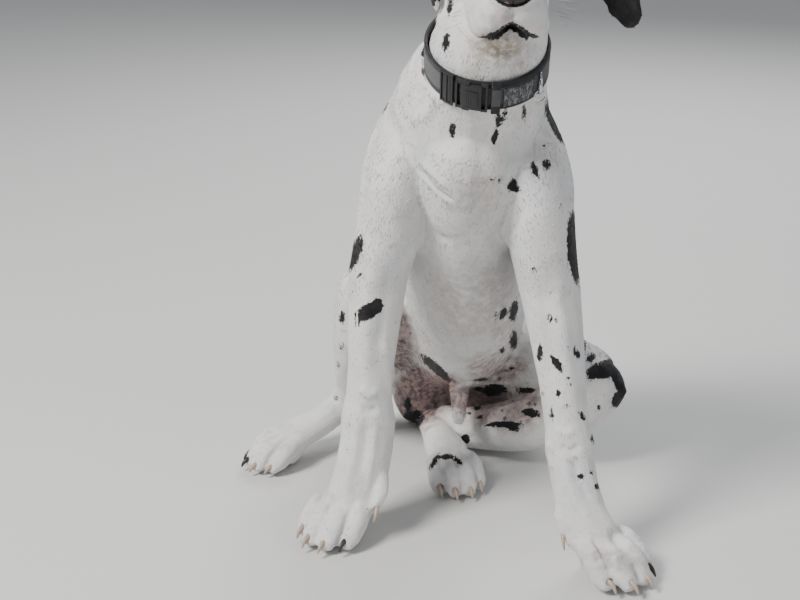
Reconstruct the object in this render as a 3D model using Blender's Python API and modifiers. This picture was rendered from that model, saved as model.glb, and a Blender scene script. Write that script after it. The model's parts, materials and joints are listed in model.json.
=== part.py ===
"""Great dane puppy, sitting, as a life-size still model.

The dog looks along -Y, its left side is at +X and it sits on the plane z = 0.
The body is lofted from rings, fused, and then parted by thin cuts into named pieces.
Every table of rings and points is in centimetres, and the objects are in metres.
"""

import math
from typing import NamedTuple

import bmesh
import bpy
import numpy as np
from mathutils import Matrix, Vector
from mathutils.bvhtree import BVHTree

CM = 0.01
GAP = 0.0003                 # between pieces that touch
BODY_VOXEL = 0.0032
HEAD_VOXEL = 0.0020
BODY_TRIANGLES = 5000
HEAD_TRIANGLES = 2000

# The middle plane of the head, and the sizes that its parts are set from.
HEAD_X = 11.3
EYE_RADIUS = 1.12
EYE_SPREAD = 3.5
EYE_Y = -8.45
EYE_Z = 77.6
EYE_TURN = 28               # degrees that each eye looks outwards
EYE_OPEN_WIDE = 1.12        # half width of the gap between the lids
EYE_OPEN_HIGH = 0.62
NOSE_TIP_Y = -20.6

# The collar lies in a plane that rises to the back of the neck.
COLLAR_CENTRE = (10.0, -0.95, 64.5)
COLLAR_TILT = math.radians(25)
COLLAR_HALF_WIDTH = 6.85    # to the inner face
COLLAR_HALF_DEPTH = 7.75
COLLAR_BAND = 3.8
COLLAR_THICK = 0.4

LEAD_RING_ANGLE = 50
LEAD_RING_HALF = 1.25
LEAD_RING_REACH = 1.35
LEAD_RING_WIRE = 0.17
TAG_RING_HALF = 0.62
TAG_RING_WIRE = 0.11
TAG_RING_AT = -50           # degrees round the D-ring's bow from its middle

NECK_CUT = (10.5, -3.2, 69.3)
NECK_CUT_RADIUS = 10.0
HALF_SPACE = 50.0           # half the side of a box that stands for half of space

MODEL = "great_dane_puppy"
# Material name, colour, roughness and metallic value, by the start of a piece's name.
COAT = ("coat", (0.80, 0.78, 0.75), 0.75, 0.0)
BLACK_WEBBING = ("black_webbing", (0.02, 0.02, 0.022), 0.7, 0.0)
BLACK_PLASTIC = ("black_plastic", (0.015, 0.015, 0.016), 0.4, 0.0)
HORN = ("horn", (0.55, 0.45, 0.36), 0.4, 0.0)
STEEL = ("plated_steel", (0.75, 0.75, 0.76), 0.2, 1.0)
FINISHES = {
    "ear": ("ear_coat", (0.03, 0.03, 0.035), 0.7, 0.0),
    "eye": ("eye", (0.05, 0.03, 0.015), 0.05, 0.0),
    "nose": ("nose_leather", (0.02, 0.018, 0.02), 0.4, 0.0),
    "claw": HORN,
    "dewclaw": HORN,
    "collar_strap": BLACK_WEBBING,
    "collar_patch": ("grey_patch", (0.12, 0.12, 0.13), 0.6, 0.0),
    "collar_lead_ring": STEEL,
    "collar_tag_ring": STEEL,
    "collar": BLACK_PLASTIC,
    "": COAT,
}

FRONT = (0, -1, 0)
DOWN = (0, 0, -1)


class Ring(NamedTuple):
    """One ring of a loft: its middle, half width, reach to the front and back, and shape."""

    x: float
    y: float
    z: float
    wide: float
    front: float
    back: float
    bend: float = 0.0        # how far both edges lie to the front of the middle
    keel: float = 0.0        # how much the front narrows, 0 to 1


TRUNK = [
    Ring(8.6, 40.5, 6.8, 7.4, 5.4, 6.4),
    Ring(8.6, 35.5, 12.8, 8.9, 6.4, 9.0),
    Ring(9.4, 27.4, 21.2, 8.6, 9.8, 9.2, keel=0.22),
    Ring(9.5, 21.0, 30.3, 9.3, 10.8, 10.2, keel=0.20),
    Ring(8.7, 15.8, 39.6, 10.0, 11.6, 11.6, keel=0.30),
    Ring(8.3, 11.2, 47.6, 10.4, 12.0, 12.0, keel=0.32),
    Ring(8.4, 7.2, 54.0, 10.2, 10.6, 11.4, keel=0.20),
    Ring(8.8, 4.4, 58.8, 9.2, 8.4, 9.8),
]

NECK = [
    Ring(8.6, 7.6, 52.5, 9.6, 10.0, 10.4),
    Ring(9.0, 3.6, 58.2, 8.9, 8.4, 10.2),
    Ring(10.0, -1.4, 64.3, 7.0, 7.3, 8.4),
    Ring(10.7, -2.6, 69.4, 6.2, 7.4, 8.2),
    Ring(11.2, -1.2, 75.2, 5.6, 6.6, 6.2),
]

# Left fore limb, from the top of the shoulder blade to the pastern.
SHOULDER_LEFT = [
    Ring(13.6, 9.8, 58.5, 2.8, 4.2, 3.8),
    Ring(15.4, 6.9, 53.4, 3.8, 6.0, 5.0),
    Ring(16.6, 4.2, 47.8, 4.5, 7.4, 5.6),
    Ring(17.4, 2.8, 41.5, 4.3, 5.8, 6.0),
    Ring(18.5, 3.0, 35.8, 3.9, 4.6, 5.4),
]
FOREARM_LEFT = [
    Ring(17.9, 2.6, 38.5, 4.0, 4.8, 5.6),
    Ring(18.7, 2.8, 34.6, 3.9, 4.6, 5.2),
    Ring(19.6, 1.4, 29.0, 3.5, 3.9, 4.2),
    Ring(20.5, 0.0, 22.4, 3.0, 3.3, 3.4),
    Ring(21.1, -1.0, 18.0, 2.95, 3.1, 3.0),
    Ring(21.5, -1.9, 14.8, 3.25, 3.3, 3.0),
    Ring(21.9, -3.0, 11.6, 2.95, 2.9, 2.9),
    Ring(22.8, -4.6, 8.0, 3.0, 2.6, 3.0),
    Ring(24.0, -6.6, 5.0, 3.4, 2.4, 2.8),
]
SHOULDER_RIGHT = [
    Ring(3.4, 12.4, 58.5, 2.8, 4.2, 3.8),
    Ring(1.2, 9.8, 53.4, 3.8, 6.0, 5.0),
    Ring(-0.3, 7.4, 47.8, 4.5, 7.4, 5.6),
    Ring(-1.3, 6.4, 41.5, 4.3, 5.8, 6.0),
    Ring(-2.6, 7.0, 35.8, 3.9, 4.6, 5.4),
]
FOREARM_RIGHT = [
    Ring(-1.9, 6.4, 38.5, 4.0, 4.8, 5.6),
    Ring(-2.8, 7.0, 34.6, 3.9, 4.6, 5.2),
    Ring(-3.3, 6.8, 29.0, 3.5, 3.9, 4.2),
    Ring(-3.8, 6.5, 22.4, 3.1, 3.3, 3.4),
    Ring(-4.1, 6.2, 18.2, 3.2, 3.1, 3.0),
    Ring(-4.2, 5.8, 15.4, 3.7, 3.3, 3.0),
    Ring(-4.4, 5.0, 12.0, 3.6, 2.9, 2.9),
    Ring(-5.2, 3.8, 8.2, 3.6, 2.6, 3.0),
    Ring(-6.3, 2.6, 5.0, 3.6, 2.4, 2.8),
]

# Right hind limb: the knee is up beside the flank and the foot points outwards.
THIGH_RIGHT = [
    Ring(4.6, 37.6, 13.4, 6.2, 6.6, 6.6),
    Ring(1.2, 33.4, 18.2, 6.4, 7.2, 7.0),
    Ring(-2.6, 28.0, 23.0, 5.3, 6.4, 6.4),
    Ring(-5.2, 22.8, 26.4, 3.9, 4.6, 4.6),
]
SHANK_RIGHT = [
    Ring(-5.4, 22.4, 26.6, 3.7, 4.0, 4.4),
    Ring(-6.0, 23.6, 21.0, 3.7, 3.8, 4.8),
    Ring(-6.6, 26.8, 15.0, 3.1, 3.1, 4.0),
    Ring(-7.2, 30.0, 10.0, 2.4, 2.4, 2.8),
    Ring(-8.2, 31.6, 6.8, 2.4, 2.5, 2.5),
]
HIND_PASTERN_RIGHT = [
    Ring(-7.6, 32.4, 6.6, 2.2, 2.2, 2.4),
    Ring(-10.4, 29.6, 5.0, 2.3, 2.1, 2.1),
    Ring(-13.4, 26.8, 4.2, 2.8, 2.1, 2.1),
    Ring(-16.0, 24.6, 3.8, 3.1, 2.1, 2.1),
]

# Left hind limb: it lies on its outer side, with the foot drawn in to the middle.
THIGH_LEFT = [
    Ring(12.8, 37.8, 10.8, 6.6, 6.8, 6.8),
    Ring(17.0, 34.2, 11.9, 6.8, 7.4, 7.0),
    Ring(22.4, 29.0, 13.0, 5.8, 6.2, 6.0),
    Ring(27.2, 24.6, 13.2, 4.7, 4.9, 4.9),
]
SHANK_LEFT = [
    Ring(28.6, 23.6, 12.9, 4.6, 4.7, 4.7),
    Ring(24.0, 22.6, 9.4, 4.7, 4.5, 4.3),
    Ring(17.6, 24.0, 6.0, 4.2, 3.6, 3.6),
    Ring(11.6, 26.2, 4.4, 3.4, 2.7, 2.8),
    Ring(6.6, 28.2, 3.9, 3.2, 2.5, 2.5),
]
HIND_PASTERN_LEFT = [
    Ring(5.0, 29.0, 4.0, 2.3, 2.5, 2.3),
    Ring(5.4, 25.4, 4.0, 2.3, 2.2, 2.2),
    Ring(6.2, 21.6, 3.9, 2.8, 2.2, 2.2),
    Ring(6.9, 19.2, 3.8, 3.1, 2.2, 2.2),
]

# The rump, from beside the loin down over the hip to the seat, on the right and on the left.
RUMP = [
    [
        Ring(5.6, 32.5, 20.0, 4.8, 6.4, 6.6),
        Ring(4.2, 36.6, 13.6, 5.8, 7.0, 7.0),
        Ring(3.7, 38.8, 8.0, 5.7, 7.0, 6.6),
        Ring(3.9, 39.4, 3.6, 5.0, 6.4, 5.4),
    ],
    [
        Ring(12.2, 32.5, 20.0, 4.8, 6.4, 6.6),
        Ring(13.2, 36.6, 13.6, 5.8, 7.0, 7.0),
        Ring(13.6, 38.8, 8.0, 5.7, 7.0, 6.6),
        Ring(13.4, 39.4, 3.6, 5.0, 6.4, 5.4),
    ],
]

TAIL = [
    Ring(8.6, 42.0, 8.4, 3.0, 3.0, 3.0),
    Ring(8.7, 46.6, 6.4, 2.5, 2.5, 2.5),
    Ring(8.7, 51.2, 3.4, 2.1, 2.1, 2.1),
    Ring(7.4, 56.4, 1.9, 1.9, 1.95, 1.9),
    Ring(4.0, 60.8, 1.6, 1.6, 1.65, 1.6),
    Ring(-1.0, 63.2, 1.25, 1.3, 1.35, 1.3),
    Ring(-6.4, 63.6, 0.85, 0.9, 0.95, 0.9),
]

# The muscle of the breast, and the fold of skin that hangs from the belly.
BREAST = [
    Ring(8.6, 1.8, 57.0, 4.6, 5.6, 4.0),
    Ring(8.4, 1.6, 51.5, 6.0, 6.0, 5.0),
    Ring(8.2, 3.4, 46.0, 5.6, 5.0, 5.0),
    Ring(8.2, 6.8, 41.0, 3.8, 4.2, 4.0),
]
SHEATH = [
    Ring(8.6, 23.6, 14.0, 1.7, 1.6, 2.2),
    Ring(8.5, 21.6, 10.6, 1.3, 1.3, 1.8),
    Ring(8.4, 20.4, 8.2, 0.95, 0.95, 1.2),
]

# Head, from the back of the skull to the end of the muzzle. Its rings reach down and up.
SKULL = [
    Ring(HEAD_X, 3.0, 77.3, 4.0, 4.8, 3.4),
    Ring(HEAD_X, 1.2, 77.5, 5.1, 5.8, 4.4),
    Ring(HEAD_X, -1.8, 77.6, 6.0, 6.6, 5.1),
    Ring(HEAD_X, -5.0, 77.2, 6.0, 7.0, 5.4),
    Ring(HEAD_X, -7.6, 76.6, 4.9, 6.0, 4.9),
    Ring(HEAD_X, -9.6, 75.6, 3.7, 5.0, 3.6),
    Ring(HEAD_X, -12.2, 74.6, 3.1, 4.4, 2.8),
    Ring(HEAD_X, -15.4, 74.2, 3.0, 4.2, 2.6),
    Ring(HEAD_X, -18.4, 74.2, 2.8, 3.6, 2.4),
]
CHEEK = [
    Ring(4.0, -1.0, 75.0, 1.9, 3.6, 3.2),
    Ring(4.3, -4.6, 74.4, 2.0, 3.6, 3.4),
    Ring(3.4, -8.0, 73.6, 1.5, 2.4, 2.2),
]
BROW = [
    Ring(1.5, -8.0, 79.9, 1.2, 1.2, 1.3),
    Ring(3.2, -7.6, 79.8, 1.3, 1.3, 1.3),
    Ring(4.8, -6.4, 78.9, 1.0, 1.1, 1.1),
]
# The upper lip hangs from below the nose back to the corner of the mouth.
LIP = [
    Ring(0.9, -19.0, 72.2, 1.3, 1.7, 1.6),
    Ring(2.2, -18.0, 71.5, 1.35, 2.1, 1.9),
    Ring(3.0, -15.4, 70.9, 1.2, 2.3, 2.0),
    Ring(3.3, -12.2, 70.8, 1.1, 2.1, 2.0),
    Ring(3.4, -9.6, 71.3, 1.0, 1.5, 1.8),
    Ring(3.5, -7.6, 72.0, 1.0, 1.0, 1.4),
]
JAW = [
    Ring(HEAD_X, -3.6, 71.4, 4.2, 3.6, 2.4),
    Ring(HEAD_X, -7.6, 70.6, 3.5, 2.9, 1.6),
    Ring(HEAD_X, -11.4, 69.7, 2.7, 2.2, 1.4),
    Ring(HEAD_X, -14.6, 69.2, 2.3, 2.0, 1.3),
    Ring(HEAD_X, -17.2, 69.3, 1.9, 1.6, 1.2),
]
THROAT = [
    Ring(10.6, -5.6, 67.0, 4.6, 3.4, 4.0),
    Ring(10.9, -7.0, 71.0, 4.2, 3.2, 4.0),
]
NOSE = [
    Ring(HEAD_X, -17.4, 74.5, 1.7, 1.5, 1.3),
    Ring(HEAD_X, -19.0, 74.4, 2.15, 1.7, 1.55),
    Ring(HEAD_X, -20.0, 74.3, 1.95, 1.55, 1.35),
]
# One nostril, from its deep inner end to the slit at the side: offsets and radius.
NOSTRIL = (
    (0.75, 1.0, 74.5, 0.32),
    (0.95, 0.1, 74.45, 0.46),
    (1.5, 0.0, 74.35, 0.36),
    (2.1, 0.5, 73.95, 0.2),
)
# Ear leaves, as offsets out from the middle of the head, down from the root to the tip.
EAR_LEFT = [
    Ring(3.9, 0.6, 80.6, 2.0, 0.5, 0.5, bend=0.5),
    Ring(6.4, 0.2, 80.6, 2.8, 0.42, 0.42, bend=1.0),
    Ring(9.2, -0.6, 79.0, 3.4, 0.36, 0.36, bend=1.2),
    Ring(11.8, -1.4, 76.0, 3.4, 0.32, 0.32, bend=1.1),
    Ring(13.6, -1.9, 72.4, 2.9, 0.28, 0.28, bend=0.8),
    Ring(14.3, -2.0, 70.0, 2.0, 0.26, 0.26, bend=0.5),
    Ring(14.5, -2.0, 68.9, 0.9, 0.22, 0.22, bend=0.2),
]
EAR_RIGHT = [
    Ring(3.9, 0.6, 80.6, 2.0, 0.5, 0.5, bend=0.5),
    Ring(6.4, 0.6, 80.3, 2.7, 0.42, 0.42, bend=0.9),
    Ring(7.9, 0.0, 78.2, 3.3, 0.36, 0.36, bend=1.1),
    Ring(8.3, -0.8, 75.6, 3.3, 0.32, 0.32, bend=1.1),
    Ring(8.0, -1.6, 73.2, 2.6, 0.28, 0.28, bend=0.8),
    Ring(7.5, -2.2, 71.6, 1.6, 0.24, 0.24, bend=0.4),
    Ring(7.3, -2.4, 70.9, 0.8, 0.22, 0.22, bend=0.2),
]


# The way that the hollow side of each ear faces at its tip.
EAR_AIMS = {"left": (-0.75, -0.85, -0.3), "right": (1.0, -0.25, -0.2)}


class Foot(NamedTuple):
    """Where a foot stands, which way it points, and its scale against a fore foot."""

    x: float
    y: float
    heading: float           # degrees from -Y towards +X
    scale: float


FEET = {
    "forepaw_left": Foot(26.1, -7.7, 36, 1.0),
    "forepaw_right": Foot(-7.9, 2.2, -33, 1.0),
    "hind_foot_right": Foot(-17.6, 23.2, -54, 0.86),
    "hind_foot_left": Foot(7.6, 16.4, 14, 0.86),
}
# Toes from the inner side out: offset sideways, and how far forward the tip is.
TOE_SIDES = (-3.35, -1.25, 1.25, 3.35)
TOE_TIPS = (3.6, 5.3, 5.3, 3.6)
TOE_WIDE = 1.5

# The root of each limb is taken out of the body by its own loft, which is this much wider
# and, at the shoulders, moved outwards to meet the skin steeply.
TAKE_MARGIN = 0.8
TAKE_OUTWARD = 2.4
ROOTS = {
    "shoulder_left": (SHOULDER_LEFT, 1),
    "shoulder_right": (SHOULDER_RIGHT, -1),
    "thigh_left": (THIGH_LEFT, 0),
    "thigh_right": (THIGH_RIGHT, 0),
}

# The dewclaw's toe on the inner side of each fore foot, and its claw.
DEWCLAWS = {
    "forepaw_left": (
        [
            Ring(20.6, -4.4, 8.2, 0.95, 1.1, 0.9),
            Ring(20.3, -5.4, 6.6, 1.05, 1.25, 0.95),
            Ring(20.6, -6.5, 5.2, 0.75, 0.85, 0.75),
        ],
        [
            Ring(20.5, -6.6, 5.3, 0.34, 0.34, 0.34),
            Ring(20.45, -7.3, 4.8, 0.30, 0.30, 0.30),
            Ring(20.5, -7.75, 4.1, 0.20, 0.20, 0.20),
            Ring(20.6, -7.85, 3.55, 0.10, 0.10, 0.10),
        ],
    ),
    "forepaw_right": (
        [
            Ring(-2.3, 2.9, 8.2, 0.95, 1.1, 0.9),
            Ring(-2.5, 1.7, 6.6, 1.05, 1.25, 0.95),
            Ring(-3.1, 0.7, 5.2, 0.75, 0.85, 0.75),
        ],
        [
            Ring(-3.0, 0.6, 5.3, 0.34, 0.34, 0.34),
            Ring(-3.05, -0.1, 4.8, 0.30, 0.30, 0.30),
            Ring(-3.25, -0.55, 4.1, 0.20, 0.20, 0.20),
            Ring(-3.45, -0.7, 3.55, 0.10, 0.10, 0.10),
        ],
    ),
}

# Points inside each other piece of the body, in centimetres, which give it its name.
BODY_SEEDS = {
    "neck": (9.9, -1.0, 64.8),
    "chest": (8.4, 10.0, 47.0),
    "belly": (8.7, 25.5, 22.5),
    "foreleg_left": (20.0, 0.8, 26.0),
    "forepaw_left": (25.2, -8.0, 3.0),
    "foreleg_right": (-3.5, 6.8, 26.0),
    "forepaw_right": (-7.6, 2.2, 3.0),
    "shank_left": (15.5, 24.8, 6.0),
    "hind_foot_left": (7.0, 19.0, 3.4),
    "shank_right": (-6.4, 26.0, 16.5),
    "hind_foot_right": (-15.6, 25.0, 3.4),
    "tail_root": (8.2, 54.0, 2.4),
    "tail_tip": (0.0, 62.9, 1.0),
}


class Slab(NamedTuple):
    """A thin flat cut: a point in it, its normal, and its half width and half height."""

    point: tuple
    normal: tuple
    wide: float
    high: float


SLABS = [
    Slab((9.5, 1.2, 60.2), (0, -0.47, 0.88), 12.0, 13.0),
    Slab((8.7, 19.0, 32.0), (0, -0.56, 0.83), 11.2, 14.5),
    Slab((8.7, 49.6, 4.5), (0, 0.84, -0.55), 3.4, 3.3),
    Slab((4.6, 60.2, 1.6), (-0.66, 0.75, 0), 3.4, 3.4),
    Slab((21.8, -2.8, 12.2), (0.25, -0.42, -0.87), 5.0, 5.2),
    Slab((-4.5, 5.0, 12.2), (-0.15, -0.36, -0.92), 5.4, 5.2),
    Slab((-10.8, 29.2, 4.8), (-0.72, -0.69, -0.1), 4.0, 4.4),
    Slab((5.8, 23.6, 4.0), (0.15, -0.98, 0), 3.8, 4.4),
]


def smooth_rows(rows, steps):
    """Return the rows of numbers with a smooth curve's steps between each two of them."""
    data = np.array(rows, dtype=float)
    first = 2 * data[0] - data[1]
    last = 2 * data[-1] - data[-2]
    padded = np.vstack([first, data, last])
    out = []
    for start in range(len(data) - 1):
        p0, p1, p2, p3 = padded[start:start + 4]
        for t in np.linspace(0, 1, steps, endpoint=False):
            bow = (2 * p0 - 5 * p1 + 4 * p2 - p3) * t * t
            twist = (3 * p1 - p0 - 3 * p2 + p3) * t ** 3
            out.append(0.5 * (2 * p1 + (p2 - p0) * t + bow + twist))
    out.append(data[-1])
    return np.array(out)


def unit(vector):
    """Return the vector at length 1."""
    vector = np.array(vector, dtype=float)
    return vector / np.linalg.norm(vector)


def new_object(name, mesh_builder):
    """Make an object of triangles from a filled bmesh, with its faces pointing out."""
    bmesh.ops.triangulate(mesh_builder, faces=mesh_builder.faces, quad_method="FIXED")
    bmesh.ops.recalc_face_normals(mesh_builder, faces=mesh_builder.faces)
    if mesh_builder.calc_volume(signed=True) < 0:
        bmesh.ops.reverse_faces(mesh_builder, faces=mesh_builder.faces)
    mesh = bpy.data.meshes.new(name)
    mesh_builder.to_mesh(mesh)
    mesh_builder.free()
    made = bpy.data.objects.new(name, mesh)
    bpy.context.scene.collection.objects.link(made)
    return made


def loft(name, rings, aim=FRONT, aim_end=None, sides=24, steps=4, dome=0.75,
         dome_angles=(30, 55, 75), grow=0.0):
    """Make a closed loft through the rings, with domed ends.

    A ring's front points along aim, which turns to aim_end by the last ring where that is
    given. grow widens every ring by that many centimetres.
    """
    aim = np.array(aim, dtype=float)
    aim_end = aim if aim_end is None else np.array(aim_end, dtype=float)
    path = smooth_rows(rings, steps)
    path[:, 3:6] += grow
    tangents = np.gradient(path[:, :3], axis=0)
    sections = []
    for part, row, tangent in zip(np.linspace(0, 1, len(path)), path, tangents):
        sections.append((row[:3], unit(tangent), row[3:], 1.0, part))
    for end, outward in ((0, -1), (-1, 1)):
        row = path[end]
        along = unit(tangents[end]) * outward
        reach = dome * min(row[3], max(row[4], row[5]))
        for angle in dome_angles:
            turn = math.radians(angle)
            shifted = row[:3] + along * reach * math.sin(turn)
            section = (shifted, unit(tangents[end]), row[3:], math.cos(turn), -end)
            if end == 0:
                sections.insert(0, section)
            else:
                sections.append(section)
    builder = bmesh.new()
    loops = []
    for centre, tangent, sizes, scale, part in sections:
        wide, front, back, bend, keel = sizes
        ahead = aim * (1 - part) + aim_end * part
        ahead = unit(ahead - tangent * ahead.dot(tangent))
        beside = np.cross(tangent, ahead)
        loop = []
        for index in range(sides):
            turn = 2 * math.pi * index / sides
            across = math.cos(turn) * wide * (1 - keel * max(0.0, math.sin(turn)))
            depth = math.sin(turn) * (front if math.sin(turn) > 0 else back)
            depth += bend * math.cos(turn) ** 2
            point = centre + (beside * across + ahead * depth) * scale
            loop.append(builder.verts.new(point * CM))
        loops.append(loop)
    for lower, upper in zip(loops, loops[1:]):
        for index in range(sides):
            after = (index + 1) % sides
            builder.faces.new((lower[index], lower[after], upper[after], upper[index]))
    builder.faces.new(loops[0])
    builder.faces.new(loops[-1])
    ends = [face for face in builder.faces if len(face.verts) > 4]
    bmesh.ops.poke(builder, faces=ends)
    return new_object(name, builder)


def ball(name, centre, radii, turn=0.0, detail=(12, 7)):
    """Make an ellipsoid at a point, turned about Z by an angle in degrees."""
    builder = bmesh.new()
    bmesh.ops.create_uvsphere(
        builder, u_segments=detail[0], v_segments=detail[1], radius=1.0)
    place = Matrix.Translation(Vector(centre) * CM)
    place = place @ Matrix.Rotation(math.radians(turn), 4, "Z")
    place = place @ Matrix.Diagonal((*(Vector(radii) * CM), 1.0))
    bmesh.ops.transform(builder, matrix=place, verts=builder.verts)
    return new_object(name, builder)


def evaluated_mesh(source):
    """Return a new mesh of the object as its modifiers leave it."""
    bpy.context.view_layer.update()
    graph = bpy.context.evaluated_depsgraph_get()
    return bpy.data.meshes.new_from_object(source.evaluated_get(graph))


def apply_modifiers(source):
    """Replace the object's mesh by what its modifiers make of it, and clear them."""
    mesh = evaluated_mesh(source)
    source.modifiers.clear()
    old = source.data
    source.data = mesh
    bpy.data.meshes.remove(old)


def drop(objects):
    """Remove objects and their meshes."""
    for old in list(objects):
        mesh = old.data
        bpy.data.objects.remove(old)
        if mesh is not None and mesh.users == 0:
            bpy.data.meshes.remove(mesh)


def fuse(name, pieces, voxel, smoothing, triangles):
    """Fuse overlapping closed pieces into one smooth mesh of about that many triangles."""
    builder = bmesh.new()
    for piece in pieces:
        builder.from_mesh(piece.data)
    drop(pieces)
    mesh = bpy.data.meshes.new(name)
    builder.to_mesh(mesh)
    builder.free()
    body = bpy.data.objects.new(name, mesh)
    bpy.context.scene.collection.objects.link(body)
    remesh = body.modifiers.new("fuse", "REMESH")
    remesh.mode = "VOXEL"
    remesh.voxel_size = voxel
    relax = body.modifiers.new("relax", "SMOOTH")
    relax.factor = 0.5
    relax.iterations = smoothing
    apply_modifiers(body)
    keep_largest(body)
    faces = sum(len(face.vertices) - 2 for face in body.data.polygons)
    thin = body.modifiers.new("thin", "DECIMATE")
    thin.ratio = triangles / faces
    apply_modifiers(body)
    return body


def islands(builder):
    """Return the lists of faces of a bmesh that hang together."""
    seen = set()
    groups = []
    for seed in builder.faces:
        if seed in seen:
            continue
        seen.add(seed)
        group = [seed]
        for face in group:
            for edge in face.edges:
                for other in edge.link_faces:
                    if other not in seen:
                        seen.add(other)
                        group.append(other)
        groups.append(group)
    return groups


def keep_largest(body):
    """Drop everything but the object's largest closed surface."""
    builder = bmesh.new()
    builder.from_mesh(body.data)
    groups = sorted(islands(builder), key=len)
    loose = [face for group in groups[:-1] for face in group]
    bmesh.ops.delete(builder, geom=loose, context="FACES")
    builder.to_mesh(body.data)
    builder.free()


def swollen(source, distance, name):
    """Return a copy of the object with its surface moved out by the distance in metres."""
    builder = bmesh.new()
    builder.from_mesh(source.data)
    builder.normal_update()
    moves = [(vert, vert.normal.copy()) for vert in builder.verts]
    for vert, normal in moves:
        vert.co += normal * distance
    return new_object(name, builder)


def box(name, centre, normal, half_sizes):
    """Make a box with its third side along the normal, all in centimetres."""
    builder = bmesh.new()
    bmesh.ops.create_cube(builder, size=2.0)
    turn = Vector((0, 0, 1)).rotation_difference(Vector(normal)).to_matrix().to_4x4()
    place = Matrix.Translation(Vector(centre) * CM) @ turn
    place = place @ Matrix.Diagonal((*(Vector(half_sizes) * CM), 1.0))
    bmesh.ops.transform(builder, matrix=place, verts=builder.verts)
    return new_object(name, builder)


def beside_neck_cut(distance, half):
    """Make a box lined up with the cut through the neck, its middle that far above it."""
    normal = (0, -math.sin(COLLAR_TILT), math.cos(COLLAR_TILT))
    centre = [at + part * distance for at, part in zip(NECK_CUT, normal)]
    return box("beside_neck_cut", centre, normal, [half] * 3)


def boolean(body, cutters, operation):
    """Apply one Boolean of closed cutters to the body, and remove them."""
    group = bpy.data.collections.new("cutting")
    bpy.context.scene.collection.children.link(group)
    for cutter in cutters:
        group.objects.link(cutter)
    change = body.modifiers.new("change", "BOOLEAN")
    change.operation = operation
    change.operand_type = "COLLECTION"
    change.collection = group
    change.solver = "EXACT"
    apply_modifiers(body)
    drop(cutters)
    bpy.data.collections.remove(group)


def cut(body, cutters):
    """Subtract closed cutters from the body."""
    boolean(body, cutters, "DIFFERENCE")


def take_out(body, name, rings, side):
    """Part what lies inside a limb's root loft from the body, a gap apart, and return it.

    side is the way in X that the loft is moved at its top, or 0 to leave it in its place.
    """
    taken = body.copy()
    taken.data = body.data.copy()
    taken.name = name
    bpy.context.scene.collection.objects.link(taken)
    moved = []
    for index, ring in enumerate(rings):
        share = abs(side) * TAKE_OUTWARD * (1 - index / (len(rings) - 1))
        moved.append(ring._replace(x=ring.x + side * share, wide=ring.wide + share * 0.8))
    inside, outside = (
        loft("cutter", moved, sides=12, steps=1, dome_angles=(45,), grow=TAKE_MARGIN + gap)
        for gap in (0.0, GAP / CM))
    boolean(taken, [inside], "INTERSECT")
    keep_largest(taken)
    cut(body, [outside])
    return taken


def clean(body):
    """Merge doubled points, triangulate, and keep the largest closed surface."""
    builder = bmesh.new()
    builder.from_mesh(body.data)
    bmesh.ops.remove_doubles(builder, verts=builder.verts, dist=0.00002)
    bmesh.ops.dissolve_degenerate(builder, edges=builder.edges, dist=0.00002)
    bmesh.ops.triangulate(builder, faces=builder.faces)
    builder.to_mesh(body.data)
    builder.free()
    keep_largest(body)


def toe_rings(foot, side, tip):
    """Return the rings of one toe, from the foot's bridge over the knuckle to the tip."""
    turn = math.radians(foot.heading)
    ahead = np.array((math.sin(turn), -math.cos(turn)))
    beside = np.array((math.cos(turn), math.sin(turn)))
    rows = [
        (-3.2, 0.55, 3.9, 1.15, 1.3, 1.3),
        (-0.6, 0.9, 4.2, 1.42, 1.9, 1.4),
        (tip - 2.6, 0.98, 3.6, TOE_WIDE, 2.2, 1.35),
        (tip - 0.9, 1.0, 2.1, TOE_WIDE * 0.98, 1.7, 1.2),
        (tip - 0.1, 1.0, 1.35, TOE_WIDE * 0.78, 1.1, 0.9),
    ]
    rings = []
    for along, spread, height, wide, front, back in rows:
        place = np.array((foot.x, foot.y))
        place = place + (ahead * along + beside * side * spread) * foot.scale
        sizes = np.array((wide, front, back)) * foot.scale
        rings.append(Ring(*place, height * foot.scale, *sizes))
    return rings


def foot_pieces(name, foot):
    """Make the toes, the pads and the bridge of one foot."""
    turn = math.radians(foot.heading)
    ahead = np.array((math.sin(turn), -math.cos(turn)))
    pieces = []
    for side, tip in zip(TOE_SIDES, TOE_TIPS):
        rings = toe_rings(foot, side, tip)
        pieces.append(loft(name, rings, DOWN, sides=16, steps=4))
    for along, radii in ((-0.8, (3.0, 2.6, 1.7)), (-2.4, (2.7, 2.4, 3.0))):
        centre = np.array((foot.x, foot.y)) + ahead * along * foot.scale
        height = 1.5 if radii[2] < 2 else 3.0
        sizes = [radius * foot.scale for radius in radii]
        pieces.append(ball(name, (*centre, height * foot.scale), sizes, foot.heading))
    return pieces


def claw_objects(name, foot):
    """Make the four claws of a foot, each a bent cone out of the top of a toe's end."""
    turn = math.radians(foot.heading)
    ahead = np.array((math.sin(turn), -math.cos(turn)))
    beside = np.array((math.cos(turn), math.sin(turn)))
    claws = []
    for number, (side, tip) in enumerate(zip(TOE_SIDES, TOE_TIPS), start=1):
        rings = []
        for along, height, radius in ((-0.5, 1.85, 0.42), (0.35, 1.95, 0.40),
                                      (1.05, 1.6, 0.30), (1.5, 0.95, 0.13)):
            place = np.array((foot.x, foot.y))
            place = place + (ahead * (tip + along) + beside * side * 1.01) * foot.scale
            rings.append(Ring(*place, height * foot.scale, radius, radius, radius * 1.2))
        claws.append(loft(f"claw_{name}_{number}", rings, DOWN, sides=6, steps=1, dome=0.6,
                          dome_angles=(45,)))
    return claws


def mirrored(rings, side):
    """Return rings given as offsets from the middle of the head, on one side of it."""
    return [ring._replace(x=HEAD_X + side * ring.x) for ring in rings]


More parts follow.
